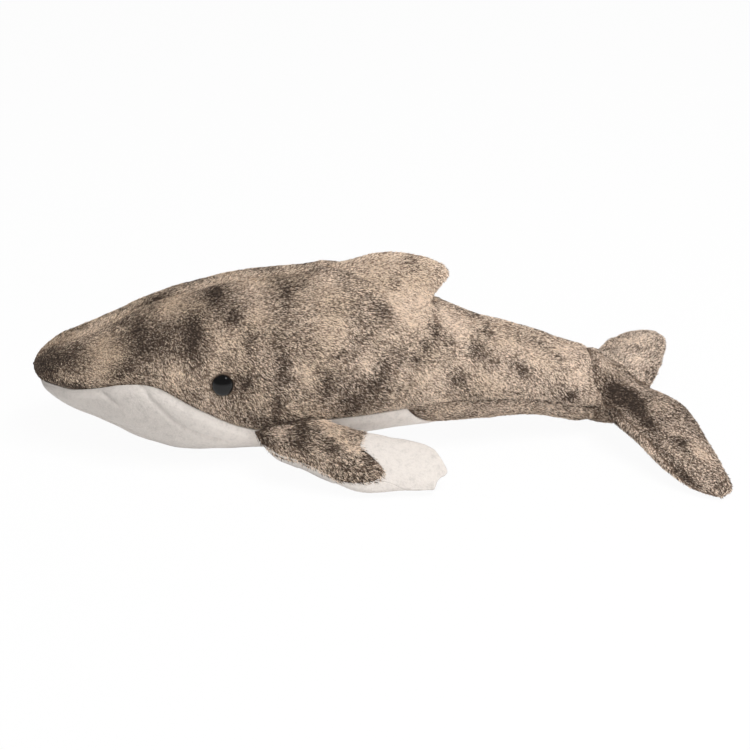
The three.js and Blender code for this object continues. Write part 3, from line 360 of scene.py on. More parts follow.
class WhaleStage(bpy.types.PropertyGroup):
    """Camera, light and floor"""

    azimuth: number("Azimuth", "Where the camera stands round the whale", math.radians(-2.5), subtype="ANGLE")
    elevation: number("Elevation", "How high the camera looks down from", math.radians(26), subtype="ANGLE")
    distance: number("Distance", "From the camera to the middle of the whale", 1.05, min=0.3, unit="LENGTH")
    lens: number("Lens", "Focal length of the camera", 86.49, min=10)
    key: number("Key light", "Strength of the soft light above", 13.4, min=0)
    world: number("Surroundings", "Strength of the light from all round", 0.37, min=0)


def settings():
    return bpy.context.scene.whale_sizes, bpy.context.scene.whale_colours, bpy.context.scene.whale_stage


# The part's place in the frame, from the joint at the fold: nose at 0, resting surface at 0
FOLD = Vector(JOINTS["tail_fold"]["pos_m"])
ORIGIN = np.array(FOLD) - (TRUNK_LENGTH, 0, FOLD_HEIGHT)


def curve_of(table, column, places):
    """One column of a table as a smooth curve along its first column."""
    start = table[:, 0]
    k = np.clip(np.searchsorted(start, places) - 1, 0, len(start) - 2)

    def slope(i):
        low, high = np.maximum(i - 1, 0), np.minimum(i + 1, len(start) - 1)
        return (table[high, column] - table[low, column]) / (start[high] - start[low])

    span = start[k + 1] - start[k]
    t = np.clip((places - start[k]) / span, 0, 1)
    return (
        table[k, column] * (2 * t**3 - 3 * t**2 + 1)
        + table[k + 1, column] * (3 * t**2 - 2 * t**3)
        + span * (slope(k) * (t**3 - 2 * t**2 + t) + slope(k + 1) * (t**3 - t**2))
    )


STATIONS = np.vstack([
    TRUNK_SHARES * (TRUNK_LENGTH, TRUNK_WIDTH / 2, TRUNK_HEIGHT / 2, TRUNK_HEIGHT, 1),
    (TRUNK_LENGTH, KNUCKLE_HALF_WIDTH, KNUCKLE_RADIUS, FOLD_HEIGHT, 0),
])
FOLD_ROW = len(STATIONS) - 1


def section(rows):
    """Place, half width, half height, middle and flatness of the trunk at its rows."""
    k = np.clip(np.floor(rows).astype(int), 0, FOLD_ROW - 1)
    t = (rows - k)[..., None]
    a, b, c, d = (STATIONS[np.clip(k + i, 0, FOLD_ROW)] for i in (-1, 0, 1, 2))
    values = 0.5 * (2 * b + (c - a) * t + (2 * a - 5 * b + 4 * c - d) * t**2 + (3 * b - a - 3 * c + d) * t**3)
    return [values[..., i] for i in range(5)]


ROWS = np.linspace(0, FOLD_ROW, 4000)
PLACES = section(ROWS)[0]


def row_at(places):
    return np.interp(places, PLACES, ROWS)


def trunk_point(rows, angles):
    """Points of the pile's outline, by row and angle from the back, positive toward the right flipper."""
    x, half, rise, middle, flat = section(rows)
    across, up = np.sin(angles), np.cos(angles)
    low = up < 0
    power = 2 + np.where(low, PRESSED_POWER * flat, 0)
    reach = (np.abs(across) ** power + np.abs(up) ** power) ** (-1 / power)
    height = rise * np.where(low, 1 - PRESSED_SHARE * flat, 1)
    return np.stack([x, half * reach * across, middle + height * reach * up], -1) + ORIGIN


def unit(vectors):
    return vectors / np.maximum(np.linalg.norm(vectors, axis=-1, keepdims=True), 1e-12)


def trunk_normal(rows, angles, step=0.02):
    ahead, behind = np.minimum(rows + step, FOLD_ROW), np.maximum(rows - step, 0)
    lengthwise = trunk_point(ahead, angles) - trunk_point(behind, angles)
    around = trunk_point(rows, angles + step) - trunk_point(rows, angles - step)
    normal = unit(np.cross(lengthwise, around))
    return np.where((rows < step)[..., None], np.array((-1.0, 0, 0)), normal)


def seam_angle(rows):
    return QUARTER * (1 + curve_of(SEAM_SHARES, 1, section(rows)[0] / TRUNK_LENGTH))


def belly_end(across):
    slant = np.abs(across) ** BELLY_POINT_POWER
    return row_at((BELLY_POINT_SHARE + (BELLY_END_SHARE - BELLY_POINT_SHARE) * slant) * TRUNK_LENGTH)


def tube_point(rows, beyond, angles):
    """Points of the trunk's outline and, beyond the fold, of its round end below the flukes."""
    points = trunk_point(rows, angles)
    shrink = np.where(beyond > 0, np.sqrt(1 - (beyond / KNUCKLE_RADIUS) ** 2), 1)[:, None]
    beyond, centre = beyond[:, None], np.array(FOLD)
    return np.where(beyond > 0, centre + (points - centre) * shrink, points) + beyond * (1, 0, 0)


def smooth(values):
    t = np.clip(values, 0, 1)
    return t * t * (3 - 2 * t)


def after(values, start, run):
    """0 up to a place, then rising to 1 over a run."""
    return smooth((values - start) / run)


def before(values, end, run):
    """1 until a run before a place, then falling to 0 there."""
    return smooth((end - values) / run)


def near(place, middle, reach):
    return np.exp(-(((place - middle) / reach) ** 2))


def drawn_in(distance, depth, width):
    """How far cloth lies in at a distance from a seam or crease."""
    return depth * near(distance, 0, width)


def grain(points, scale, seed):
    """Smooth noise from -1 to 1 at points, with features of a given size."""
    shift = Vector((seed * 7.3, seed * 3.1, seed * 5.7))
    return np.array([noise.noise(Vector(p) / scale + shift) for p in points])


def even(value):
    """The same comb or tone all over a grid."""
    return lambda along, *_more: value + 0 * along


def always(way):
    """The same way out all over a grid."""
    return lambda _points: np.array(way, float)


# Meshes and objects


def mesh_of(bm, name):
    mesh = bpy.data.meshes.new(name)
    bm.to_mesh(mesh)
    bm.free()
    return mesh


def in_scene(name, data):
    made = bpy.data.objects.new(name, data)
    bpy.context.scene.collection.objects.link(made)
    return made


def smoothed(bm):
    for f in bm.faces:
        f.smooth = True


def column(mesh, name, width=1):
    """A mesh attribute as an array."""
    data = mesh.attributes[name].data
    values = np.zeros(len(data) * width, np.float32)
    data.foreach_get("vector" if width == 3 else "value", values)
    return values.reshape(-1, width).astype(float) if width > 1 else values.astype(float)


def normals_of(mesh):
    normals = np.zeros(len(mesh.vertices) * 3, np.float32)
    mesh.vertex_normals.foreach_get("vector", normals)
    return normals.reshape(-1, 3).astype(float)


def write(mesh, name, values):
    """Keeps an array as a point attribute of a mesh."""
    kind, part = ("FLOAT_VECTOR", "vector") if values.ndim == 2 else ("FLOAT", "value")
    mesh.attributes.new(name, kind, "POINT").data.foreach_set(part, values.astype(np.float32).ravel())


def hue_at(points):
    """0 where the light strands are straw, 1 where they are cream."""
    x = (points[:, 0] - ORIGIN[0]) / TRUNK_LENGTH
    return np.clip(0.15 + 0.7 * x + 0.45 * grain(points, 20 * MM, HUE_SEED), 0, 1)


def cloth(name, *grids):
    """One object from grids of cloth. Each grid is (faces along, faces down, place, outward, comb, tone):
    place(along, down) gives its points, outward(points) the way out, comb(along, down) the pile's turn from
    the lengthwise direction, and tone(along, down, points) how light the print is."""
    fine = 2
    bm = bmesh.new()
    in_along, in_down, in_grid = [bm.verts.layers.float.new(n) for n in ("along", "down", "grid")]
    for which, (n_along, n_down, *_rest) in enumerate(grids):
        made = bmesh.ops.create_grid(bm, x_segments=n_along * fine, y_segments=n_down * fine, size=0.5)
        for v in made["verts"]:
            v[in_along], v[in_down], v[in_grid] = v.co.x + 0.5, v.co.y + 0.5, which
    for which, (_a, _d, place, outward, *_rest) in enumerate(grids):
        verts = [v for v in bm.verts if v[in_grid] == which]
        points = place(*np.array([(v[in_along], v[in_down]) for v in verts]).T)
        for v, p in zip(verts, points):
            v.co = p
        faces = [f for f in bm.faces if f.verts[0][in_grid] == which]
        bmesh.ops.recalc_face_normals(bm, faces=faces)
        for f in faces:
            f.normal_update()
        middles = np.array([f.calc_center_median() for f in faces])
        normals = np.array([f.normal for f in faces])
        if (normals * outward(middles)).sum() < 0:
            bmesh.ops.reverse_faces(bm, faces=faces)
    bmesh.ops.remove_doubles(bm, verts=bm.verts, dist=WELD)
    smoothed(bm)
    joined = mesh_of(bm, name)
    along, down, which = (column(joined, n) for n in ("along", "down", "grid"))
    tone, comb = np.zeros(len(along)), np.zeros((len(along), 3))
    co = column(joined, "position", 3)
    step = 0.004  # share of a grid over which its two directions are measured
    for k, (_a, _d, place, _out, turn, shade) in enumerate(grids):
        mine = which == k
        a, d = along[mine], down[mine]
        lengthwise = unit(place(np.minimum(a + step, 1), d) - place(np.maximum(a - step, 0), d))
        sideways = unit(place(a, np.minimum(d + step, 1)) - place(a, np.maximum(d - step, 0)))
        angle = turn(a, d)[:, None]
        comb[mine] = unit(lengthwise * np.cos(angle) + sideways * np.sin(angle))
        tone[mine] = shade(a, d, co[mine])
    write(joined, "tone", tone)
    write(joined, "comb", comb)
    write(joined, "hue", hue_at(co))
    piece = in_scene(name, joined)
    wall = piece.modifiers.new("Backing", "SOLIDIFY")
    wall.thickness, wall.offset = settings()[0].backing, -1
    return piece


def settle(piece, finish, nodes=(), body=None):
    """Gives a finished piece its material and its body, or bakes its place into its mesh, and hides the nodes
    that it stands for."""
    piece.data.materials.append(finish_of(finish))
    if body:
        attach(piece, body)
    else:
        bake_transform(piece)
    if nodes:
        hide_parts(*nodes)


# Materials


def new_material(name):
    material = bpy.data.materials.new("whale_" + name)
    material.use_nodes = True
    tree = material.node_tree
    shader = next(n for n in tree.nodes if n.type == "BSDF_PRINCIPLED")
    return material, tree, shader


def put(tree, node, inputs):
    """Sets inputs of a node. One that is given a socket is linked."""
    for name, value in inputs.items():
        if isinstance(value, bpy.types.NodeSocket):
            tree.links.new(value, node.inputs[name])
        else:
            node.inputs[name].default_value = value


def add(tree, kind, inputs=None, **values):
    """A node with its settings and inputs."""
    made = tree.nodes.new("ShaderNode" + kind)
    for name, value in values.items():
        setattr(made, name, value)
    put(tree, made, inputs or {})
    return made


def attribute(tree, name):
    return add(tree, "Attribute", attribute_name=name).outputs["Fac"]


def arithmetic(tree, operation, a, b=0.0, c=0.0):
    return add(tree, "Math", {0: a, 1: b, 2: c}, operation=operation).outputs[0]


def texture(tree, scale, detail, rough=0.5, distortion=0.0):
    """Noise that is fixed to the object."""
    place = add(tree, "TexCoord").outputs["Object"]
    return add(tree, "TexNoise", {
        "Vector": place, "Scale": scale, "Detail": detail, "Roughness": rough, "Distortion": distortion,
    }).outputs["Fac"]


def relief(tree, height, strength, distance):
    return add(tree, "Bump", {"Height": height, "Strength": strength, "Distance": distance}).outputs["Normal"]


def ramp(tree, factor, *stops):
    """A colour that changes with a factor. Each stop is a place, a colour and how light that is drawn."""
    made = add(tree, "ValToRGB", {"Fac": factor})
    line = made.color_ramp.elements
    while len(line) < len(stops):
        line.new(0.5)
    for element, (place, shown, share) in zip(line, stops):
        element.position, element.color = place, (*(min(1, share * c) for c in shown), 1)
    return made.outputs["Color"]


def pile_colour(tree, shade, colours):
    """The print's colour from dark to light, where light is straw or cream as the hue attribute says."""
    straw, cream = (
        ramp(tree, shade, (0.0, colours.dark, 1), (0.45, colours.brown, 1), (1.0, light, 1))
        for light in (colours.straw, colours.cream))
    mixed = add(tree, "MixRGB", {"Fac": attribute(tree, "hue"), "Color1": straw, "Color2": cream})
    return mixed.outputs["Color"]


def pile_finish(tree, colours):
    """Strands: the print, with its painted shade along seams and the flippers' sewn roots, says how many of
    them are light, and roots are darker than tips.
    """
    own = arithmetic(tree, "SUBTRACT", attribute(tree, "tone"), attribute(tree, "chance"))
    shade = arithmetic(tree, "MULTIPLY_ADD", own, 2.0, 0.5)
    tip = arithmetic(tree, "MULTIPLY_ADD", attribute(tree, "tip"), 0.22, -0.09)
    shade = arithmetic(tree, "ADD", shade, tip)
    return {
        "Base Color": pile_colour(tree, shade, colours), "Roughness": 0.75, "Specular IOR Level": 0.2,
        "Sheen Weight": 0.06, "Sheen Roughness": 0.4}


def backing_finish(tree, colours):
    """Cloth below the strands: the print with its painted shade along seams, darker, with flecks."""
    flecks = texture(tree, 900.0, 3.0, 0.6)
    own = arithmetic(tree, "MULTIPLY_ADD", flecks, 0.9, -0.5)
    shade = arithmetic(tree, "MULTIPLY_ADD", attribute(tree, "tone"), 0.55, own)
    return {
        "Base Color": pile_colour(tree, shade, colours), "Normal": relief(tree, flecks, 0.6, 0.0006),
        "Roughness": 0.95, "Specular IOR Level": 0.1}


def white_finish(tree, colours):
    """Short white pile: soft tufts and a faint nap, lighter or darker as the tone attribute says, which on the
    throat and belly is painted shade and painted light.
    """
    tufts, nap = texture(tree, 720.0, 4.0, 0.65), texture(tree, 240.0, 3.0, 0.6)
    mix = arithmetic(tree, "MULTIPLY_ADD", tufts, 0.5, arithmetic(tree, "MULTIPLY", nap, 0.5))
    plain = ramp(tree, mix, (0.3, colours.white, 0.8), (0.5, colours.white, 1), (0.75, colours.white, 1.08))
    lit = arithmetic(tree, "MULTIPLY", attribute(tree, "tone"), 2.0)
    return {
        "Base Color": add(tree, "HueSaturation", {"Color": plain, "Value": lit}).outputs["Color"],
        "Normal": relief(tree, tufts, 0.6, 0.0009), "Roughness": 0.95, "Specular IOR Level": 0.15,
        "Sheen Weight": 0.3, "Sheen Roughness": 0.5}


def filling_finish(tree, colours):
    """Loose white fibre."""
    fibre = texture(tree, 260.0, 6.0, 0.7, 1.5)
    return {
        "Base Color": ramp(tree, fibre, (0.3, colours.filling, 0.78), (0.6, colours.filling, 1)),
        "Normal": relief(tree, fibre, 0.8, 0.002), "Roughness": 1.0}


def eye_finish(tree, colours):
    """Polished black plastic with faint handling marks."""
    marks = texture(tree, 420.0, 5.0, 0.6)
    rough = ramp(tree, marks, (0.4, (0.05,) * 3, 1), (0.75, (0.12,) * 3, 1))
    return {"Base Color": (*colours.eye, 1), "Roughness": rough, "Specular IOR Level": 0.38}


def washer_finish(tree, colours):
    """Moulded plastic with a fine matt grain."""
    matt = texture(tree, 1500.0, 3.0)
    return {
        "Base Color": ramp(tree, matt, (0.3, colours.washer, 0.9), (0.7, colours.washer, 1)),
        "Normal": relief(tree, matt, 0.2, 0.0002), "Roughness": 0.5}


FINISHES = {
    "mottled_pile": pile_finish,
    "mottled_backing": backing_finish,
    "white_pile": white_finish,
    "filling": filling_finish,
    "eye_black": eye_finish,
    "washer": washer_finish,
}


def finish_of(name):
    """The material of a finish, made when it is first asked for."""
    found = bpy.data.materials.get("whale_" + name)
    if found:
        return found
    material, tree, shader = new_material(name)
    put(tree, shader, FINISHES[name](tree, settings()[1]))
    return material


# Trunk


def trunk_rows(along, first=0.0):
    """Row of the trunk, and length beyond the fold, at a share of the way from a first row to the end."""
    way = np.clip(along / LAST_ROW_SHARE, 0, 1)
    rows = first + (FOLD_ROW - first) * np.where(first == 0, way**FRONT_POWER, way)
    return rows, np.clip((along - LAST_ROW_SHARE) / (1 - LAST_ROW_SHARE), 0, 1) * KNUCKLE_REACH


def crease_place(down):
    """Where the fold in the cloth before the flukes runs, from the back seam down."""
    return TRUNK_LENGTH + (-4 + 3.5 * down) * MM


def eye_seat(side):
    """Middle and way out of an eye."""
    rows, angles = row_at(np.array([EYE_PLACE])), np.array([side * EYE_ANGLE])
    return trunk_point(rows, angles)[0], trunk_normal(rows, angles)[0]


EYE_SEATS = {side: eye_seat(side) for _name, side in SIDES}


def patches_at(table, x, place):
    """Sum of the printed patches of a table."""
    x, place = x[:, None], place[:, None]
    away = ((x - table[:, 0]) / table[:, 2]) ** 2 + ((place - table[:, 1]) / table[:, 3]) ** 2
    return (np.exp(-away) * table[:, 4]).sum(1)


def base_tone(x):
    """The print grows lighter from the shoulder to the tail. Places are in millimetres from the nose."""
    return BASE_TONE + BASE_RISE * after(x, *BASE_RUN)


def print_tone(points, extra, seed):
    """Shade of the print from 0, dark, to 1, cream. Extra may hold painted shade along seams as well as print.
    """
    uneven = 0.2 * grain(points, 15 * MM, seed) + 0.12 * grain(points, 6 * MM, seed + 3)
    return np.clip(0.5 + extra + uneven, 0.03, 0.97)


def from_axis(points):
    """The way out of the trunk at points."""
    rows = row_at(points[:, 0] - ORIGIN[0])
    axis = np.stack([points[:, 0], 0 * rows, section(rows)[3] + ORIGIN[2]], -1)
    return points - axis


def fillet(distance):
    """How far cloth is drawn out near the fold between the back and the fin."""
    return FILLET / 4 * np.clip(1 - distance / FILLET, 0, 1) ** 2


def bulges(points):
    """How far the stuffing pushes the cloth out or leaves it sunk."""
    return sum(height * grain(points, size, LUMP_SEED + k) for k, (size, height) in enumerate(LUMPS))


def eased(points, angles, x):
    """Points of the trunk's cloth with its blunt nose, and its fuller tail stock tucked in at the flukes."""
    points = points.copy()
    snout = np.maximum(points[:, 0] - ORIGIN[0], 0)
    blunt = (snout**3 + NOSE_BLUNT**3) ** (1 / 3)
    points[:, 0] = ORIGIN[0] + np.where(snout < 10 * NOSE_BLUNT, blunt, snout)
    up, down = np.clip(np.cos(angles), 0, 1), np.clip(-np.cos(angles), 0, 1)
    points[:, 2] += TAIL_LIFT * after(x, *LIFT_RUN) * up
    points[:, 2] -= TAIL_SAG * after(x, *SAG_RUN) * down
    turn = np.arccos(np.clip(np.cos(angles), -1, 1))
    beside = after(turn, *BESIDE_FROM) * before(turn, *BESIDE_TO)
    tuck = CREASE_TUCK * (0.35 + 0.45 * up * up - 0.3 * down * down) * after(x, *TUCK_RUN)
    tuck += UNDER_TUCK * after(x, *UNDER_RUN) - SIDE_FULLNESS * beside * after(x, *FULL_RUN)
    points[:, 1:] -= unit(points[:, 1:] - np.array(FOLD)[1:]) * tuck[:, None]
    return points


def side_place(side):
    """Points of a side panel: along from the nose, down from the back seam to the side seam."""

    def place(along, down):
        sizes = settings()[0]
        rows, beyond = trunk_rows(along)
        seam = side * seam_angle(rows)
        angles = RIDGE_TURN * near(section(rows)[0], *RIDGE_PLACE) * (1 - down) + down * seam
        points, normals = tube_point(rows, beyond, angles), trunk_normal(rows, angles)
        x = section(rows)[0] + beyond
        girth = 1.15 * np.linalg.norm(trunk_point(rows, seam) - trunk_point(rows, 0 * rows), axis=1)
        notch = after(down, *FIN_FOLD_START) * before(down, *FIN_FOLD_END)
        drawn = drawn_in(down * girth, *BACK_SEAM)
        drawn += drawn_in((1 - down) * girth, sizes.seam_depth, sizes.seam_width)
        drawn += drawn_in(crease_place(down) - x, *SIDE_CREASE) * after(down, *CREASE_START)
        drawn += drawn_in(np.linalg.norm(points - EYE_SEATS[side][0], axis=1), *EYE_DIMPLE)
        drawn += drawn_in(x - FIN_FOLD_PLACE + FIN_FOLD_SLANT * down, *FIN_FOLD) * notch
        beside = np.maximum(np.maximum(FIN_FRONT - x, x - FIN_REAR), 0)
        gap = np.hypot(np.maximum(np.abs(points[:, 1]) - FIN_FOOT, 0), beside)
        rise = fillet(gap) * np.clip(np.cos(angles) * 1.5, 0, 1)
        fade = np.clip(x / NOSE_FADE, 0, 1)
        points = points + normals * (rise - drawn * fade - sizes.bed + bulges(points))[:, None]
        return eased(points, angles, x)

    return place


def fin_edge(t):
    """Point of the fin's outline in the middle plane, and of its root."""
    outline, root = (
        shares * (FIN_LENGTH, FIN_RISE) + (FIN_START, FIN_ROOT_HEIGHT)
        for shares in (FIN_SHARES, FIN_ROOT_SHARES))
    steps = np.concatenate([[0], np.cumsum(np.linalg.norm(np.diff(outline, axis=0), axis=1))])
    table = np.column_stack([steps / steps[-1], outline])
    edge = np.stack([curve_of(table, 1, t), curve_of(table, 2, t)], -1)
    return edge, root[0] + (root[1] - root[0]) * t[:, None]


def fin_place(side):
    """Points of one half of the fin: along its outline, down from its edge to its root."""

    def place(along, down):
        share = 1 - down
        edge, root = fin_edge(along)
        flat = root + (edge - root) * share[:, None]
        thick = FIN_HALF_THICKNESS * np.sin(math.pi * (0.14 + 0.72 * along))
        half = HEM + (thick - HEM - settings()[0].bed * THIN_BED) * np.sqrt(1 - share**2)
        _x, wide, rise, middle, _flatness = section(row_at(flat[:, 0]))
        back = middle + rise * np.sqrt(np.clip(1 - (half / wide) ** 2, 0, 1))
        half = half + fillet(np.maximum(flat[:, 1] - back, 0)) * np.clip(down * 3, 0, 1)
        return np.stack([flat[:, 0], side * half, flat[:, 1]], -1) + ORIGIN

    return place


def print_table(side):
    """Patches of a side panel. On the right, where they hardly show, the left ones are moved along and turned
    over."""
    if side < 0:
        return SIDE_PATCHES
    table = SIDE_PATCHES.copy()
    table[:, 0] = 55 + (table[:, 0] + 60) % 265
    return np.vstack([table * (1, -1, 1, 1, 1) + (0, 1, 0, 0, 0), BEYOND_RIDGE])


def side_tones(side):
    """Print of a side panel and of its half of the fin, which runs on from the back at its root."""
    table = print_table(side)

    def panel_tone(_along, down, points):
        x = (points[:, 0] - ORIGIN[0]) / MM
        # line: painted shade in the groove of the panel's seam with the gusset, behind the belly's end
        line = drawn_in((1 - down) * section(row_at(x * MM))[1] * PANEL_GIRTH, SEAM_PAINTED_SHADE, GROOVE_SHADE_WIDTH)
        tones = PATCH_STRENGTH * patches_at(table, x, down) + base_tone(x) - line * after(x, *GUSSET_SHADE_RUN)
        return print_tone(points, tones, SIDE_PRINT + side)

    def fin_tone(_along, down, points):
        x = (points[:, 0] - ORIGIN[0]) / MM
        own = patches_at(FIN_PATCHES, x, down) + FIN_TONE + FIN_FOLLOWS * base_tone(x)
        back = PATCH_STRENGTH * patches_at(table, x, 0 * x + 0.04) + base_tone(x)
        share = after(down, *FIN_ROOT)
        return print_tone(points, own * (1 - share) + back * share, SIDE_PRINT + side)

    return panel_tone, fin_tone


def side_comb(_along, down):
    return np.radians(8 + 26 * np.clip(down * 1.6, 0, 1))


def fin_comb(along, _down):
    return np.radians(-14 + 22 * along)


class WHALE_OT_side_panels(bpy.types.Operator):
    """Makes the two side panels, each with its half of the dorsal fin"""

    bl_idname = "whale.side_panels"
    bl_label = "Side panels"

    def execute(self, context):
        for name, side in SIDES:
            panel_tone, fin_tone = side_tones(side)
            body = (*SIDE_FACES, side_place(side), from_axis, side_comb, panel_tone)
            fin = (*FIN_FACES, fin_place(side), always((0, side, 0)), fin_comb, fin_tone)
            piece = cloth(f"side_{name}", body, fin)
            settle(piece, "mottled_backing", [f"side_panel_{name}"])
        return {"FINISHED"}


# Belly


def pleat(x, across):
    """How far the throat is drawn in along its creases."""
    depth = 0 * x
    for spots in PLEATS:
        middle = np.interp(x / MM, spots[:, 0], spots[:, 1])
        inside = after(x / MM, spots[0, 0] - 4, 6) * before(x / MM, spots[-1, 0] + 6, 9)
        depth += drawn_in((np.abs(across) - middle) * THROAT_HALF_WIDTH, *THROAT_PLEAT) * inside
    return depth


def belly_place(gusset):
    """Points under the trunk, of the throat and belly panel or of the gusset behind it."""

    def place(along, down):
        sizes = settings()[0]
        across = 2 * down - 1
        if gusset:
            rows, beyond = trunk_rows(along, belly_end(across))
        else:
            rows, beyond = belly_end(across) * along**FRONT_POWER, 0 * along
        reach = math.pi - seam_angle(rows)
        angles = math.pi - across * reach
        points, normals = tube_point(rows, beyond, angles), trunk_normal(rows, angles)
        x = section(rows)[0] + beyond
        seam = tube_point(rows, beyond, math.pi - np.where(across < 0, -1, 1) * reach)
        to_end = np.abs(section(belly_end(across))[0] - x)
        drawn = (1.0 if gusset else 0.3) * sizes.bed + drawn_in(to_end, *BELLY_END_SEAM)
        drawn += drawn_in(np.linalg.norm(points - seam, axis=1), sizes.seam_depth, sizes.seam_width)
        drawn += 0 if gusset else pleat(x, across)
        fade = np.clip(x / NOSE_FADE, 0, 1)
        points = eased(points - normals * (drawn * fade - bulges(points))[:, None], angles, x)
        points[:, 2] = np.maximum(points[:, 2], GROUND)
        return points

    return place


def belly_painted_light(along, _down, _points):
    """White cloth, lighter below the rear of the belly than at the throat: painted light there, and painted
    shade at the throat.
    """
    return THROAT_PAINTED_SHADE + BELLY_PAINTED_LIGHT * after(along, *BELLY_LIGHT_RUN)


def gusset_tone(along, down, points):
    """Print of the gusset, with painted shade along its seams with the side panels, where their grooves are."""
    line = drawn_in(np.minimum(down, 1 - down) * GUSSET_WIDTH, 0.7 * SEAM_PAINTED_SHADE, GROOVE_SHADE_WIDTH)
    return print_tone(points, GUSSET_TONE - smooth(along * 6 - 0.6) * line, GUSSET_PRINT)


class WHALE_OT_belly(bpy.types.Operator):
    """Makes the white throat and belly panel and the gusset below the tail stock"""

    bl_idname = "whale.belly"
    bl_label = "Belly"

    def execute(self, context):
        white = (*BELLY_FACES, belly_place(False), from_axis, even(0), belly_painted_light)
        settle(cloth("throat_belly", white), "white_pile", ["throat_belly_panel"])
        brown = (*GUSSET_FACES, belly_place(True), from_axis, even(0), gusset_tone)
        settle(cloth("gusset", brown), "mottled_backing", ["tail_gusset"])
        return {"FINISHED"}


# Flippers


class Root:
    """Frame of a flipper's sewn root, from its joint: the way to the tail, outward and up."""

    def __init__(self, name, side):
        joint = JOINTS[f"flipper_{name}_flap"]
        self.side = side
        self.front = np.array(joint["pos_m"])
        self.tailward = unit(np.array(joint["axis"]) * side)
        level = np.array((0, 1.0, 0)) - self.tailward * self.tailward[1]
        turn = Matrix.Rotation(-side * FLIPPER_DROOP, 3, Vector(self.tailward))
        self.leftward = np.array(turn @ Vector(unit(level)))
        self.up = np.cross(self.tailward, self.leftward)

    def out(self, x, y, z):
        return self.front + np.stack([x, y, z], -1) @ np.stack([self.tailward, self.leftward, self.up])


def plump(share):
    return np.sin(math.pi * np.clip(share, 0, 1)) ** PILLOW_POWER


def flipper_point(root, place, share, face, lower=0.0):
    """A point of a flipper's upper (face 1) or lower (face -1) side."""
    inner = np.maximum(curve_of(FLIPPER_SHARES, 1, place) * FLIPPER_REACH, 0)
    outer = np.maximum(curve_of(FLIPPER_SHARES, 2, place) * FLIPPER_REACH, inner + 0.8 * MM)
    half = np.maximum(curve_of(FLIPPER_SHARES, 3, place), 0.05) * FLIPPER_HALF_THICKNESS
    sewn = smooth(place / ROOT_START) * (1 - after(place, *ROOT_END))
    lower = lower * smooth(half / (4 * MM))
    height = FLIPPER_HEM + (half - lower) * np.maximum(plump(share), ROOT_FULLNESS * sewn)
    sag = FLIPPER_SAG * place**SAG_POWER
    y = inner + (outer - inner) * (share - ROOT_DRAW * sewn * (1 - share))
    return root.out(place * FLIPPER_LENGTH, root.side * y, face * height - sag)


def print_edge(share):
    return curve_of(PRINT_EDGE, 1, share)


def white_rim(place):
    return curve_of(WHITE_RIM, 1, place)


def flipper_top(root, beyond, depth):
    """Points on top of a flipper, up to the edge of the print or beyond it."""

    def place(along, down):
        share = down
        for _ in range(12):
            edge = print_edge(share)
            start, end = (edge, 1) if beyond else (0, edge)
            reached = start + (end - start) * along
            share = down * white_rim(reached)
        return flipper_point(root, reached, share, 1, depth)

    return place


def flipper_under(root, depth):
    """Points below a flipper from its hem, round the front edge and a little way up."""

    def place(along, down):
        run = down * (2 - white_rim(along))
        low = flipper_point(root, along, np.minimum(run, 1), -1)
        high = flipper_point(root, along, np.clip(2 - run, 0, 1), 1, depth)
        return np.where((run <= 1)[:, None], low, high)

    return place


def flipper_tone(side):
    """Print of a flipper, with painted shade in a dark line along its sewn root."""

    def tone(along, down, points):
        place = along * print_edge(down)
        # seam: painted shade in the crease where the flipper's sewn root meets the trunk
        seam = ROOT_PAINTED_SHADE * near(down, 0, PAINTED_ROOT_REACH) * before(place, *PAINTED_ROOT_END)
        tones = patches_at(FLIPPER_PATCHES, place, down) + FLIPPER_TONE - seam
        return print_tone(points, tones, FLIPPER_PRINT + side)

    return tone


def flipper_comb(_along, down):
    return np.radians(20 + 14 * down)


class WHALE_OT_flippers(bpy.types.Operator):
    """Makes both flippers: mottled top, white tip and white underside"""

    bl_idname = "whale.flippers"
    bl_label = "Flippers"

    def execute(self, context):
        bed = settings()[0].bed
        thin, comb, white = THIN_BED * bed, flipper_comb, even(WHITE_TONE)
        for name, side in SIDES:
            body, root = f"flipper_{name}", Root(name, side)
            top = (*PRINT_FACES, flipper_top(root, False, bed), always(root.up), comb, flipper_tone(side))
            tip = (*TIP_FACES, flipper_top(root, True, thin), always(root.up), comb, white)
            low = (*UNDER_FACES, flipper_under(root, thin), always(-root.up), comb, white)
            settle(cloth(f"{body}_print", top), "mottled_backing", [f"{body}_top"], body)
            settle(cloth(f"{body}_white_tip", tip), "white_pile", [f"{body}_tip"], body)
            settle(cloth(f"{body}_lower", low), "white_pile", [f"{body}_underside"], body)
        return {"FINISHED"}


# Flukes


def stock_half(behind, across, face):
    """Half height of the flattened stock between the lobes."""
    share = behind / FLUKE_CHORD
    width = MOUTH_HALF_WIDTH * curve_of(STOCK_SHARES, 2, share)
    rise = curve_of(STOCK_TOP, 1, share) if face > 0 else curve_of(STOCK_SHARES, 1, share)
    height = MOUTH_HALF_HEIGHT * np.maximum(rise, 0)
    return height * np.sqrt(np.maximum(1 - (across / width) ** 2, 0))


def fluke_rim(place):
    """How far back the seam lies on top of a lobe, where the cloth of the underside comes round the front."""
    return RIM_SHARE * after(place, *RIM_START) * (1 - after(place, *RIM_END))


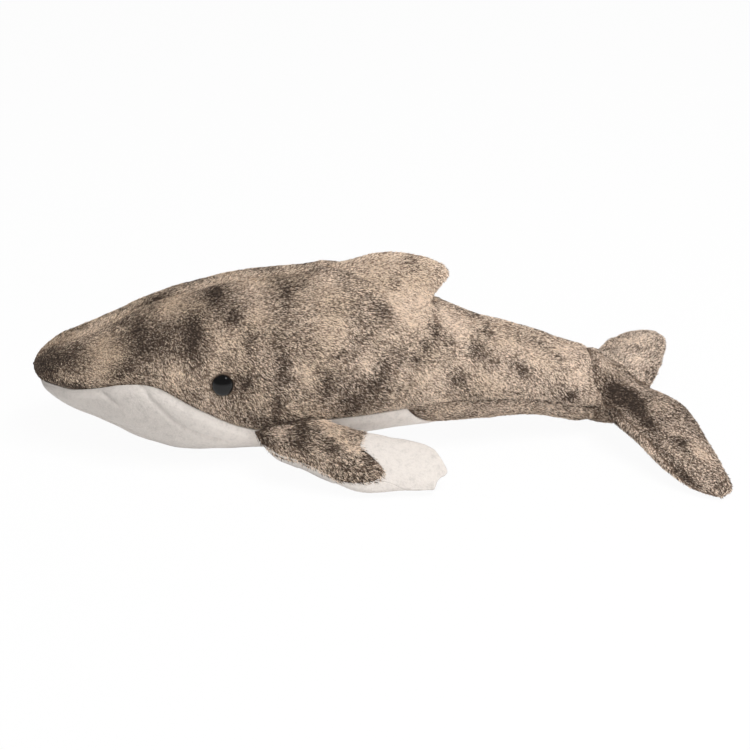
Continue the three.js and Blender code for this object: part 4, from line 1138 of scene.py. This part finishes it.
def fluke_point(side, place, share, face, lower=0.0):
    """A point of a fluke's upper or lower side, by its place across and from front to rear."""
    across = place * FLUKE_HALF_SPAN
    out = np.hypot(across, FLUKE_CROWN) - FLUKE_CROWN
    fall = out * math.tan(math.radians(FLUKE_DROOP - side * FLUKE_ROLL))
    front, rear = (curve_of(FLUKE_SHARES, k, place) * FLUKE_SWEEP for k in (1, 2))
    for k, back, middle, reach in RIGHT_LOBE if side > 0 else ():
        moved = back * near(place, middle, reach)
        front, rear = (front + moved, rear) if k == 1 else (front, rear + moved)
    behind = front + (rear - front) * share
    shift = out * math.tan(math.radians(-side * FLUKE_TURN))
    lobe = np.maximum(curve_of(FLUKE_SHARES, 3, place), 0.02) * FLUKE_HALF_THICKNESS * plump(share)
    half = (lobe**STOCK_POWER + stock_half(behind, across, face) ** STOCK_POWER) ** (1 / STOCK_POWER)
    crease = drawn_in(behind, *(TOP_CREASE if face > 0 else UNDER_CREASE)) * np.clip(half / (12 * MM), 0, 1)
    if face > 0:
        crease += drawn_in((share - fluke_rim(place)) * (rear - front), *RIM_SEAM) * after(place, *RIM_START)
    height = HEM + np.maximum(half - lower * np.clip(half / (6 * MM), 0, 1) - crease, 0)
    height = height - face * MIDDLE_FALL * near(across, 0, MIDDLE_WIDTH) * smooth(behind / MIDDLE_RUN)
    roll = EDGE_ROLL * after(place, *ROLL_START) * (1 - place**4) * near(share, 0, ROLL_REACH)
    across = across * (1 - MOUTH_DRAW * near(behind, 0, MOUTH_DEPTH) * before(place, *MOUTH_END))
    up = FOLD_HEIGHT - fall + face * height + roll
    return np.stack([TRUNK_LENGTH + behind + shift, side * across, up], -1) + ORIGIN


def fluke_grid(name, side, face):
    """The upper (face 1) or lower (face -1) side of a lobe."""
    bed = settings()[0].bed

    def place(along, down):
        across = along**FLUKE_POWER
        rim = fluke_rim(across)
        if face > 0:
            return fluke_point(side, across, rim + (1 - rim) * down, face, bed)
        run = down * (1 + rim) - rim
        over = fluke_point(side, across, np.maximum(-run, 0), 1, bed)
        return np.where((run < 0)[:, None], over, fluke_point(side, across, np.maximum(run, 0), face, bed))

    def tone(along, down, points):
        across = along**FLUKE_POWER
        if face > 0:
            shade = FLUKE_TONE + patches_at(FLUKE_PATCHES[name], across, down)
        else:
            shade = UNDER_TONE - 0.5 * near(across, 0.37, 0.07) * near(down, 0, 0.2)
        return print_tone(points, shade, FLUKE_PRINT + side + 3 * face)

    def comb(along, down):
        return np.radians(12 + 34 * (1 - down) * (1 - 0.6 * along))

    return *FLUKE_FACES, place, always((0, 0, face)), comb, tone


class WHALE_OT_flukes(bpy.types.Operator):
    """Makes the cloth of the flukes: a skin on each lobe and one below both"""

    bl_idname = "whale.flukes"
    bl_label = "Flukes"

    def execute(self, context):
        for name, side in SIDES:
            top = cloth(f"fluke_{name}", fluke_grid(name, side, 1))
            settle(top, "mottled_backing", [f"fluke_top_{name}"])
        lower = cloth("fluke_lower", *(fluke_grid(name, side, -1) for name, side in SIDES))
        settle(lower, "mottled_backing", ["fluke_underside"])
        return {"FINISHED"}


# Filling

FILLINGS = (  # node, body, cell of its mesh, depth below the solid's surface, cloths round it
    ("body_filling", "trunk", 4 * MM, 1.6 * MM, ("side_left", "side_right", "throat_belly", "gusset")),
    *((f"flipper_{name}_filling", f"flipper_{name}", 2 * MM, 0.7 * MM,
       [f"flipper_{name}_{part}" for part in ("print", "white_tip", "lower")]) for name, _side in SIDES),
    ("fluke_filling", "flukes", 2 * MM, 0.7 * MM, ("fluke_left", "fluke_right", "fluke_lower")),
)


def inside_of(cloths, points):
    """Points moved in until they lie below the cloth round them."""
    gap = 2 * settings()[0].backing
    trees = [bvhtree.BVHTree.FromPolygons(
        [v.co for v in c.data.vertices], [p.vertices for p in c.data.polygons]) for c in cloths]
    for _round in range(2):
        for k, point in enumerate(points):
            place, normal, _face, far = min((t.find_nearest(point) for t in trees), key=lambda hit: hit[3])
            above = (Vector(point) - place).dot(normal)
            if above > -gap and far < 8 * gap:
                points[k] = np.array(Vector(point) - normal * (above + gap))
    return points


class WHALE_OT_filling(bpy.types.Operator):
    """Makes the stuffing: soft forms from the part's own, a little smaller"""

    bl_idname = "whale.filling"
    bl_label = "Filling"

    def execute(self, context):
        for node, body, cell, sunk, cloths in FILLINGS:
            bm = bmesh.new()
            bm.from_mesh(frame["nodes"][node].data)
            bmesh.ops.remove_doubles(bm, verts=bm.verts, dist=SAME)
            bmesh.ops.recalc_face_normals(bm, faces=bm.faces)
            piece = in_scene(f"{node}_fibre", mesh_of(bm, f"{node}_fibre"))
            remesh = piece.modifiers.new("Even", "REMESH")
            remesh.mode, remesh.voxel_size = "VOXEL", cell
            soft = piece.modifiers.new("Soft", "SMOOTH")
            soft.factor, soft.iterations = 0.5, 6
            made = bpy.data.meshes.new_from_object(piece.evaluated_get(context.evaluated_depsgraph_get()))
            piece.modifiers.clear()
            piece.data = made
            co = column(made, "position", 3)
            depth = sunk * (1 + 0.5 * grain(co, 11 * MM, FIBRE_SEED))
            co = inside_of([bpy.data.objects[n] for n in cloths], co - normals_of(made) * depth[:, None])
            made.vertices.foreach_set("co", co.astype(np.float32).ravel())
            for polygon in made.polygons:
                polygon.use_smooth = True
            settle(piece, "filling", [node], body)
        return {"FINISHED"}


# Eyes


def eye_frames():
    """Middle and way out of each eye. Fails where that isn't in the part's own eye."""
    for name, side in SIDES:
        low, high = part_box(f"eye_{name}")
        if not all(l - 2 * MM < c < h + 2 * MM for l, c, h in zip(low, EYE_SEATS[side][0], high)):
            raise RuntimeError(f"eye_{name} isn't where its pattern puts it")
    return {name: EYE_SEATS[side] for name, side in SIDES}


def eye_profile():
    """Half of an eye's outline: the shank, the flat behind the rim, and the dome."""
    shank, tip, length, seat, bevel, steps = 1.9 * MM, 1.2 * MM, 9 * MM, -EYE_SINK, 0.4 * MM, 16
    rim = seat + EYE_RIM + EYE_SKIRT
    profile = [
        (0, -length), (tip, -length), (shank, shank - tip - length), (shank, seat),
        (EYE_RADIUS - bevel, seat), (EYE_RADIUS, seat + bevel)]
    for k in range(steps):
        turn = QUARTER * k / steps
        profile.append((EYE_RADIUS * math.cos(turn), rim + (EYE_DOME - EYE_RIM) * math.sin(turn)))
    return [*profile, (0, rim + EYE_DOME - EYE_RIM)]


class WHALE_OT_eyes(bpy.types.Operator):
    """Makes the domed eyes on their shanks, and finishes the washers"""

    bl_idname = "whale.eyes"
    bl_label = "Eyes"

    def execute(self, context):
        for name, (middle, out) in eye_frames().items():
            bm = bmesh.new()
            verts = [bm.verts.new((r, 0, z)) for r, z in eye_profile()]
            edges = [bm.edges.new(pair) for pair in zip(verts, verts[1:])]
            bmesh.ops.spin(bm, geom=verts + edges, cent=(0, 0, 0), axis=(0, 0, 1), angle=2 * math.pi,
                           steps=64, use_merge=True, use_duplicate=False)
            bmesh.ops.remove_doubles(bm, verts=bm.verts, dist=SAME)
            bmesh.ops.recalc_face_normals(bm, faces=bm.faces)
            turn = Vector((0, 0, 1)).rotation_difference(Vector(out)).to_matrix().to_4x4()
            bm.transform(Matrix.Translation(Vector(middle)) @ turn)
            smoothed(bm)
            piece = in_scene(f"eye_{name}_dome", mesh_of(bm, f"eye_{name}_dome"))
            settle(piece, "eye_black", [f"eye_{name}"], "trunk")
            washer = frame["nodes"][f"eye_washer_{name}"]
            washer.data.materials.clear()
            washer.data.materials.append(finish_of("washer"))
        return {"FINISHED"}


# Pile


def strands(name, source, part, seed, length=None, eyes=()):
    """Strands of pile on one part of a piece of cloth, each a narrow bent blade."""
    sizes = settings()[0]
    length, density = length or sizes.pile, sizes.density * 1
    mesh = source.data
    mesh.calc_loop_triangles()
    corners = np.zeros(len(mesh.loop_triangles) * 3, np.int32)
    mesh.loop_triangles.foreach_get("vertices", corners)
    corners = corners.reshape(-1, 3)
    co, normals = column(mesh, "position", 3), normals_of(mesh)
    tone, hue, comb = column(mesh, "tone"), column(mesh, "hue"), column(mesh, "comb", 3)
    if part is not None:
        corners = corners[part(co[corners].mean(1))]
    first, second = (co[corners[:, k]] - co[corners[:, 0]] for k in (1, 2))
    area = 0.5 * np.linalg.norm(np.cross(first, second), axis=1)

    # roots: a place on a triangle, the ways up and along the comb there, the print with its painted shade along
    # seams, and its tint
    rng = np.random.default_rng(seed)
    count = int(area.sum() * 1e6 * density)
    chosen = corners[np.searchsorted(np.cumsum(area) / area.sum(), rng.random(count)).clip(0, len(area) - 1)]
    a, b = rng.random((2, count))
    swap = a + b > 1
    a, b = np.where(swap, 1 - a, a), np.where(swap, 1 - b, b)
    weight = np.stack([1 - a - b, a, b], -1)[..., None]
    roots = (co[chosen] * weight).sum(1)
    up = unit((normals[chosen] * weight).sum(1))
    way = (comb[chosen] * weight).sum(1)
    shade = (tone[chosen] * weight[..., 0]).sum(1)
    tint = (hue[chosen] * weight[..., 0]).sum(1) + rng.normal(0, TINT_SPREAD, count)

    # each strand's way, length and lift
    way = unit(way - up * (way * up).sum(1, keepdims=True))
    swing = rng.normal(0, SWING_SPREAD, count) + WHIRL * grain(roots, WHIRL_SIZE, seed)
    way = way * np.cos(swing)[:, None] + np.cross(up, way) * np.sin(swing)[:, None]
    aside = np.cross(up, way)
    short = 0.45 + 0.55 * smooth((roots[:, 0] - ORIGIN[0]) / (16 * MM))
    long = length * rng.uniform(*LENGTHS, count) * short
    lift = sizes.lift * rng.uniform(*LIFTS, count) * (1 + 0.45 * grain(roots, TUFT_SIZE, seed + 1))
    for middle, out in eyes:
        gap = np.linalg.norm(np.cross(roots - middle, out), axis=1)
        close = np.linalg.norm(roots - middle, axis=1) < 20 * MM
        toward = -((roots - middle) * way).sum(1)
        # strands before an eye stop at its rim, and none grows under it
        long = np.where(close & (toward > 0), np.clip(gap - EYE_RADIUS + 0.2 * MM, 0.4 * MM, long), long)
        kept = ~(close & (gap < EYE_RADIUS - 0.4 * MM))
        roots, up, way, aside, long, lift, shade, tint = (
            v[kept] for v in (roots, up, way, aside, long, lift, shade, tint))
    count = len(roots)
    wide = sizes.strand * rng.uniform(*WIDTHS, count)
    tilt = rng.normal(0, TWIST_SPREAD, count)[:, None]
    chance = rng.random(count)

    # blades: two points at the root, two further on and the tip
    flat = aside * np.cos(tilt) + up * np.sin(tilt)
    rows = []
    for t, w in ((0, 0.75), (0.55, 1.0), (1, 0)):
        forward = long * (t * np.cos(lift) + 0.04 * t**2)
        height = long * (t * np.sin(lift) - 0.42 * np.sin(lift) * t**2) - ROOT_DEPTH
        spine = roots + way * forward[:, None] + up * height[:, None]
        edge = flat * (w * wide / 2)[:, None]
        rows += [spine - edge, spine + edge] if w else [spine]
    made = blades(name, np.stack(rows, 1).reshape(-1, 3), count)
    write(made, "tone", np.repeat(shade, BLADE_POINTS))
    write(made, "hue", np.repeat(np.clip(tint, 0, 1), BLADE_POINTS))
    write(made, "chance", np.repeat(chance, BLADE_POINTS))
    write(made, "tip", np.tile([0, 0, 0.5, 0.5, 1], count))
    return in_scene(name, made)


def blades(name, points, count):
    """A mesh of blades, each a quad and a triangle with its own cell in the map for baking."""
    made = bpy.data.meshes.new(name)
    made.vertices.add(len(points))
    made.vertices.foreach_set("co", points.astype(np.float32).ravel())
    number = np.arange(count)[:, None]
    corners = BLADE_POINTS * number + np.array([0, 1, 3, 2, 2, 3, 4])
    starts = corners.shape[1] * number + np.array([0, 4])
    made.loops.add(corners.size)
    made.loops.foreach_set("vertex_index", corners.astype(np.int32).ravel())
    made.polygons.add(2 * count)
    made.polygons.foreach_set("loop_start", starts.astype(np.int32).ravel())
    made.polygons.foreach_set("use_smooth", np.ones(2 * count, bool))
    cells = math.ceil(math.sqrt(count))
    cell = np.stack([number % cells, number // cells], -1)
    spots = np.array([(0.1, 0.1), (0.9, 0.1), (0.9, 0.5), (0.1, 0.5), (0.1, 0.5), (0.9, 0.5), (0.5, 0.9)])
    bake = made.uv_layers.new(name="OFBake")
    bake.uv.foreach_set("vector", ((cell + spots) / cells).astype(np.float32).ravel())
    made.update(calc_edges=True)
    return made


def between(first, last):
    """Picks points by their place, in millimetres from the nose."""
    low, high = ORIGIN[0] + first * MM, ORIGIN[0] + last * MM
    return lambda points: (points[:, 0] >= low) & (points[:, 0] < high)


class WHALE_OT_pile(bpy.types.Operator):
    """Plants the mottled pile on the cloth"""

    bl_idname = "whale.pile"
    bl_label = "Pile"

    def execute(self, context):
        cloths = bpy.data.objects
        eyes = list(eye_frames().values())

        def plant(name, source, seed, part=None, body=None, **more):
            piece = strands(name, cloths[source], part, seed, **more)
            settle(piece, "mottled_pile", body=body)

        for name, _side in SIDES:
            for k, (part, first, last) in enumerate(SIDE_PARTS):
                plant(f"pile_{name}_{part}", f"side_{name}", SIDE_PILE + k, between(first, last), eyes=eyes)
            plant(f"pile_fluke_{name}", f"fluke_{name}", FLUKE_PILE)
            plant(f"pile_flipper_{name}", f"flipper_{name}_print", FLIPPER_PILE, body=f"flipper_{name}",
                  length=FLIPPER_STRAND)
        for name in ("gusset", "fluke_lower"):
            plant(f"pile_{name}", name, LOWER_PILE)
        return {"FINISHED"}


# Stage


def either(tree, a, b):
    return arithmetic(tree, "MAXIMUM", a, b)


def white_floor():
    """A floor that the camera sees as white paper and that takes soft shadows."""
    bm = bmesh.new()
    bmesh.ops.create_grid(bm, x_segments=2, y_segments=2, size=FLOOR_SIZE)
    bmesh.ops.translate(bm, verts=bm.verts, vec=(0, 0, -FLOOR_DROP))
    floor = in_scene("floor", mesh_of(bm, "floor"))
    material, tree, shader = new_material("floor")
    put(tree, shader, {"Base Color": (0.92, 0.92, 0.92, 1), "Roughness": 0.9})
    output = next(n for n in tree.nodes if n.type == "OUTPUT_MATERIAL")
    rays = add(tree, "LightPath").outputs
    seen = either(tree, rays["Is Glossy Ray"], rays["Is Transmission Ray"])
    seen = either(tree, rays["Is Camera Ray"], seen)
    glint = arithmetic(tree, "MULTIPLY", rays["Is Glossy Ray"], -0.3)
    share = arithmetic(tree, "MULTIPLY_ADD", seen, 0.95, glint)
    paper = add(tree, "Emission", {"Color": WHITE, "Strength": 1.0}).outputs[0]
    put(tree, output, {"Surface": add(
        tree, "MixShader", {"Fac": share, 1: shader.outputs[0], 2: paper}).outputs[0]})
    floor.data.materials.append(material)


def white_world(scene, strength):
    """White behind the object, soft light from all round, and a dim room in what shines."""
    scene.world = bpy.data.worlds.new("studio")
    scene.world.use_nodes = True
    tree = scene.world.node_tree
    tree.nodes.clear()
    rays = add(tree, "LightPath").outputs
    height = add(tree, "SeparateXYZ", {0: add(tree, "TexCoord").outputs["Generated"]}).outputs[2]
    backdrop = add(tree, "MapRange", {
        "Value": height, "From Min": 0.05, "From Max": 0.3, "To Min": 1.0, "To Max": 0.1}).outputs[0]
    seen = either(tree, rays["Is Camera Ray"], rays["Is Transmission Ray"])
    seen = either(tree, seen, arithmetic(tree, "MULTIPLY", rays["Is Glossy Ray"], backdrop))
    dim = arithmetic(tree, "MULTIPLY_ADD", rays["Is Glossy Ray"], 0.1 - strength, strength)
    light, paper = (
        add(tree, "Background", {"Color": WHITE, "Strength": value}).outputs[0] for value in (dim, 1.0))
    mixed = add(tree, "MixShader", {"Fac": seen, 1: light, 2: paper}).outputs[0]
    add(tree, "OutputWorld", {"Surface": mixed})


def lamps(key):
    for name, place, size, share in LAMPS:
        lamp = bpy.data.lights.new(name, "AREA")
        lamp.shape, lamp.size, lamp.energy = "DISK", size, key * share
        holder = in_scene(name, lamp)
        holder.location = place
        holder.rotation_euler = (LAMP_AIM - Vector(place)).to_track_quat("-Z", "Y").to_euler()
        holder.visible_glossy = name == "top"


def camera_at(stage):
    camera = bpy.data.cameras.new("camera")
    camera.sensor_width, camera.lens = 36, stage.lens
    camera.clip_start, camera.clip_end = 0.05, 20
    back = Vector((
        math.sin(stage.azimuth) * math.cos(stage.elevation),
        -math.cos(stage.azimuth) * math.cos(stage.elevation),
        math.sin(stage.elevation)))
    holder = in_scene("camera", camera)
    holder.location = CAMERA_AIM + back * stage.distance
    holder.rotation_euler = (-back).to_track_quat("-Z", "Y").to_euler()
    return holder


class WHALE_OT_stage(bpy.types.Operator):
    """Sets up the floor, the light and the camera"""

    bl_idname = "whale.stage"
    bl_label = "Stage"

    def execute(self, context):
        stage, scene = settings()[2], context.scene
        white_floor()
        white_world(scene, stage.world)
        lamps(stage.key)
        scene.camera = camera_at(stage)
        scene.view_settings.view_transform = "Standard"
        return {"FINISHED"}


MAKING = (
    WHALE_OT_stage, WHALE_OT_side_panels, WHALE_OT_belly, WHALE_OT_flippers, WHALE_OT_flukes,
    WHALE_OT_filling, WHALE_OT_eyes, WHALE_OT_pile,
)


class WHALE_PT_panel(bpy.types.Panel):
    """Sizes, colours and the steps of the whale"""

    bl_idname = "WHALE_PT_panel"
    bl_label = "Plush whale"
    bl_space_type = "VIEW_3D"
    bl_region_type = "UI"
    bl_category = "Whale"

    def draw(self, context):
        for group in settings():
            box = self.layout.box()
            for name in group.bl_rna.properties.keys():
                if name not in ("rna_type", "name"):
                    box.prop(group, name)
        for operator in MAKING:
            self.layout.operator(operator.bl_idname)


CLASSES = (WhaleSizes, WhaleColours, WhaleStage, *MAKING, WHALE_PT_panel)


def register():
    for made in CLASSES:
        bpy.utils.register_class(made)
    bpy.types.Scene.whale_sizes = bpy.props.PointerProperty(type=WhaleSizes)
    bpy.types.Scene.whale_colours = bpy.props.PointerProperty(type=WhaleColours)
    bpy.types.Scene.whale_stage = bpy.props.PointerProperty(type=WhaleStage)


def unregister():
    for name in ("whale_sizes", "whale_colours", "whale_stage"):
        delattr(bpy.types.Scene, name)
    for made in reversed(CLASSES):
        bpy.utils.unregister_class(made)


def main():
    register()
    for operator in MAKING:
        group, name = operator.bl_idname.split(".")
        getattr(getattr(bpy.ops, group), name)()


if __name__ == "__main__":
    main()
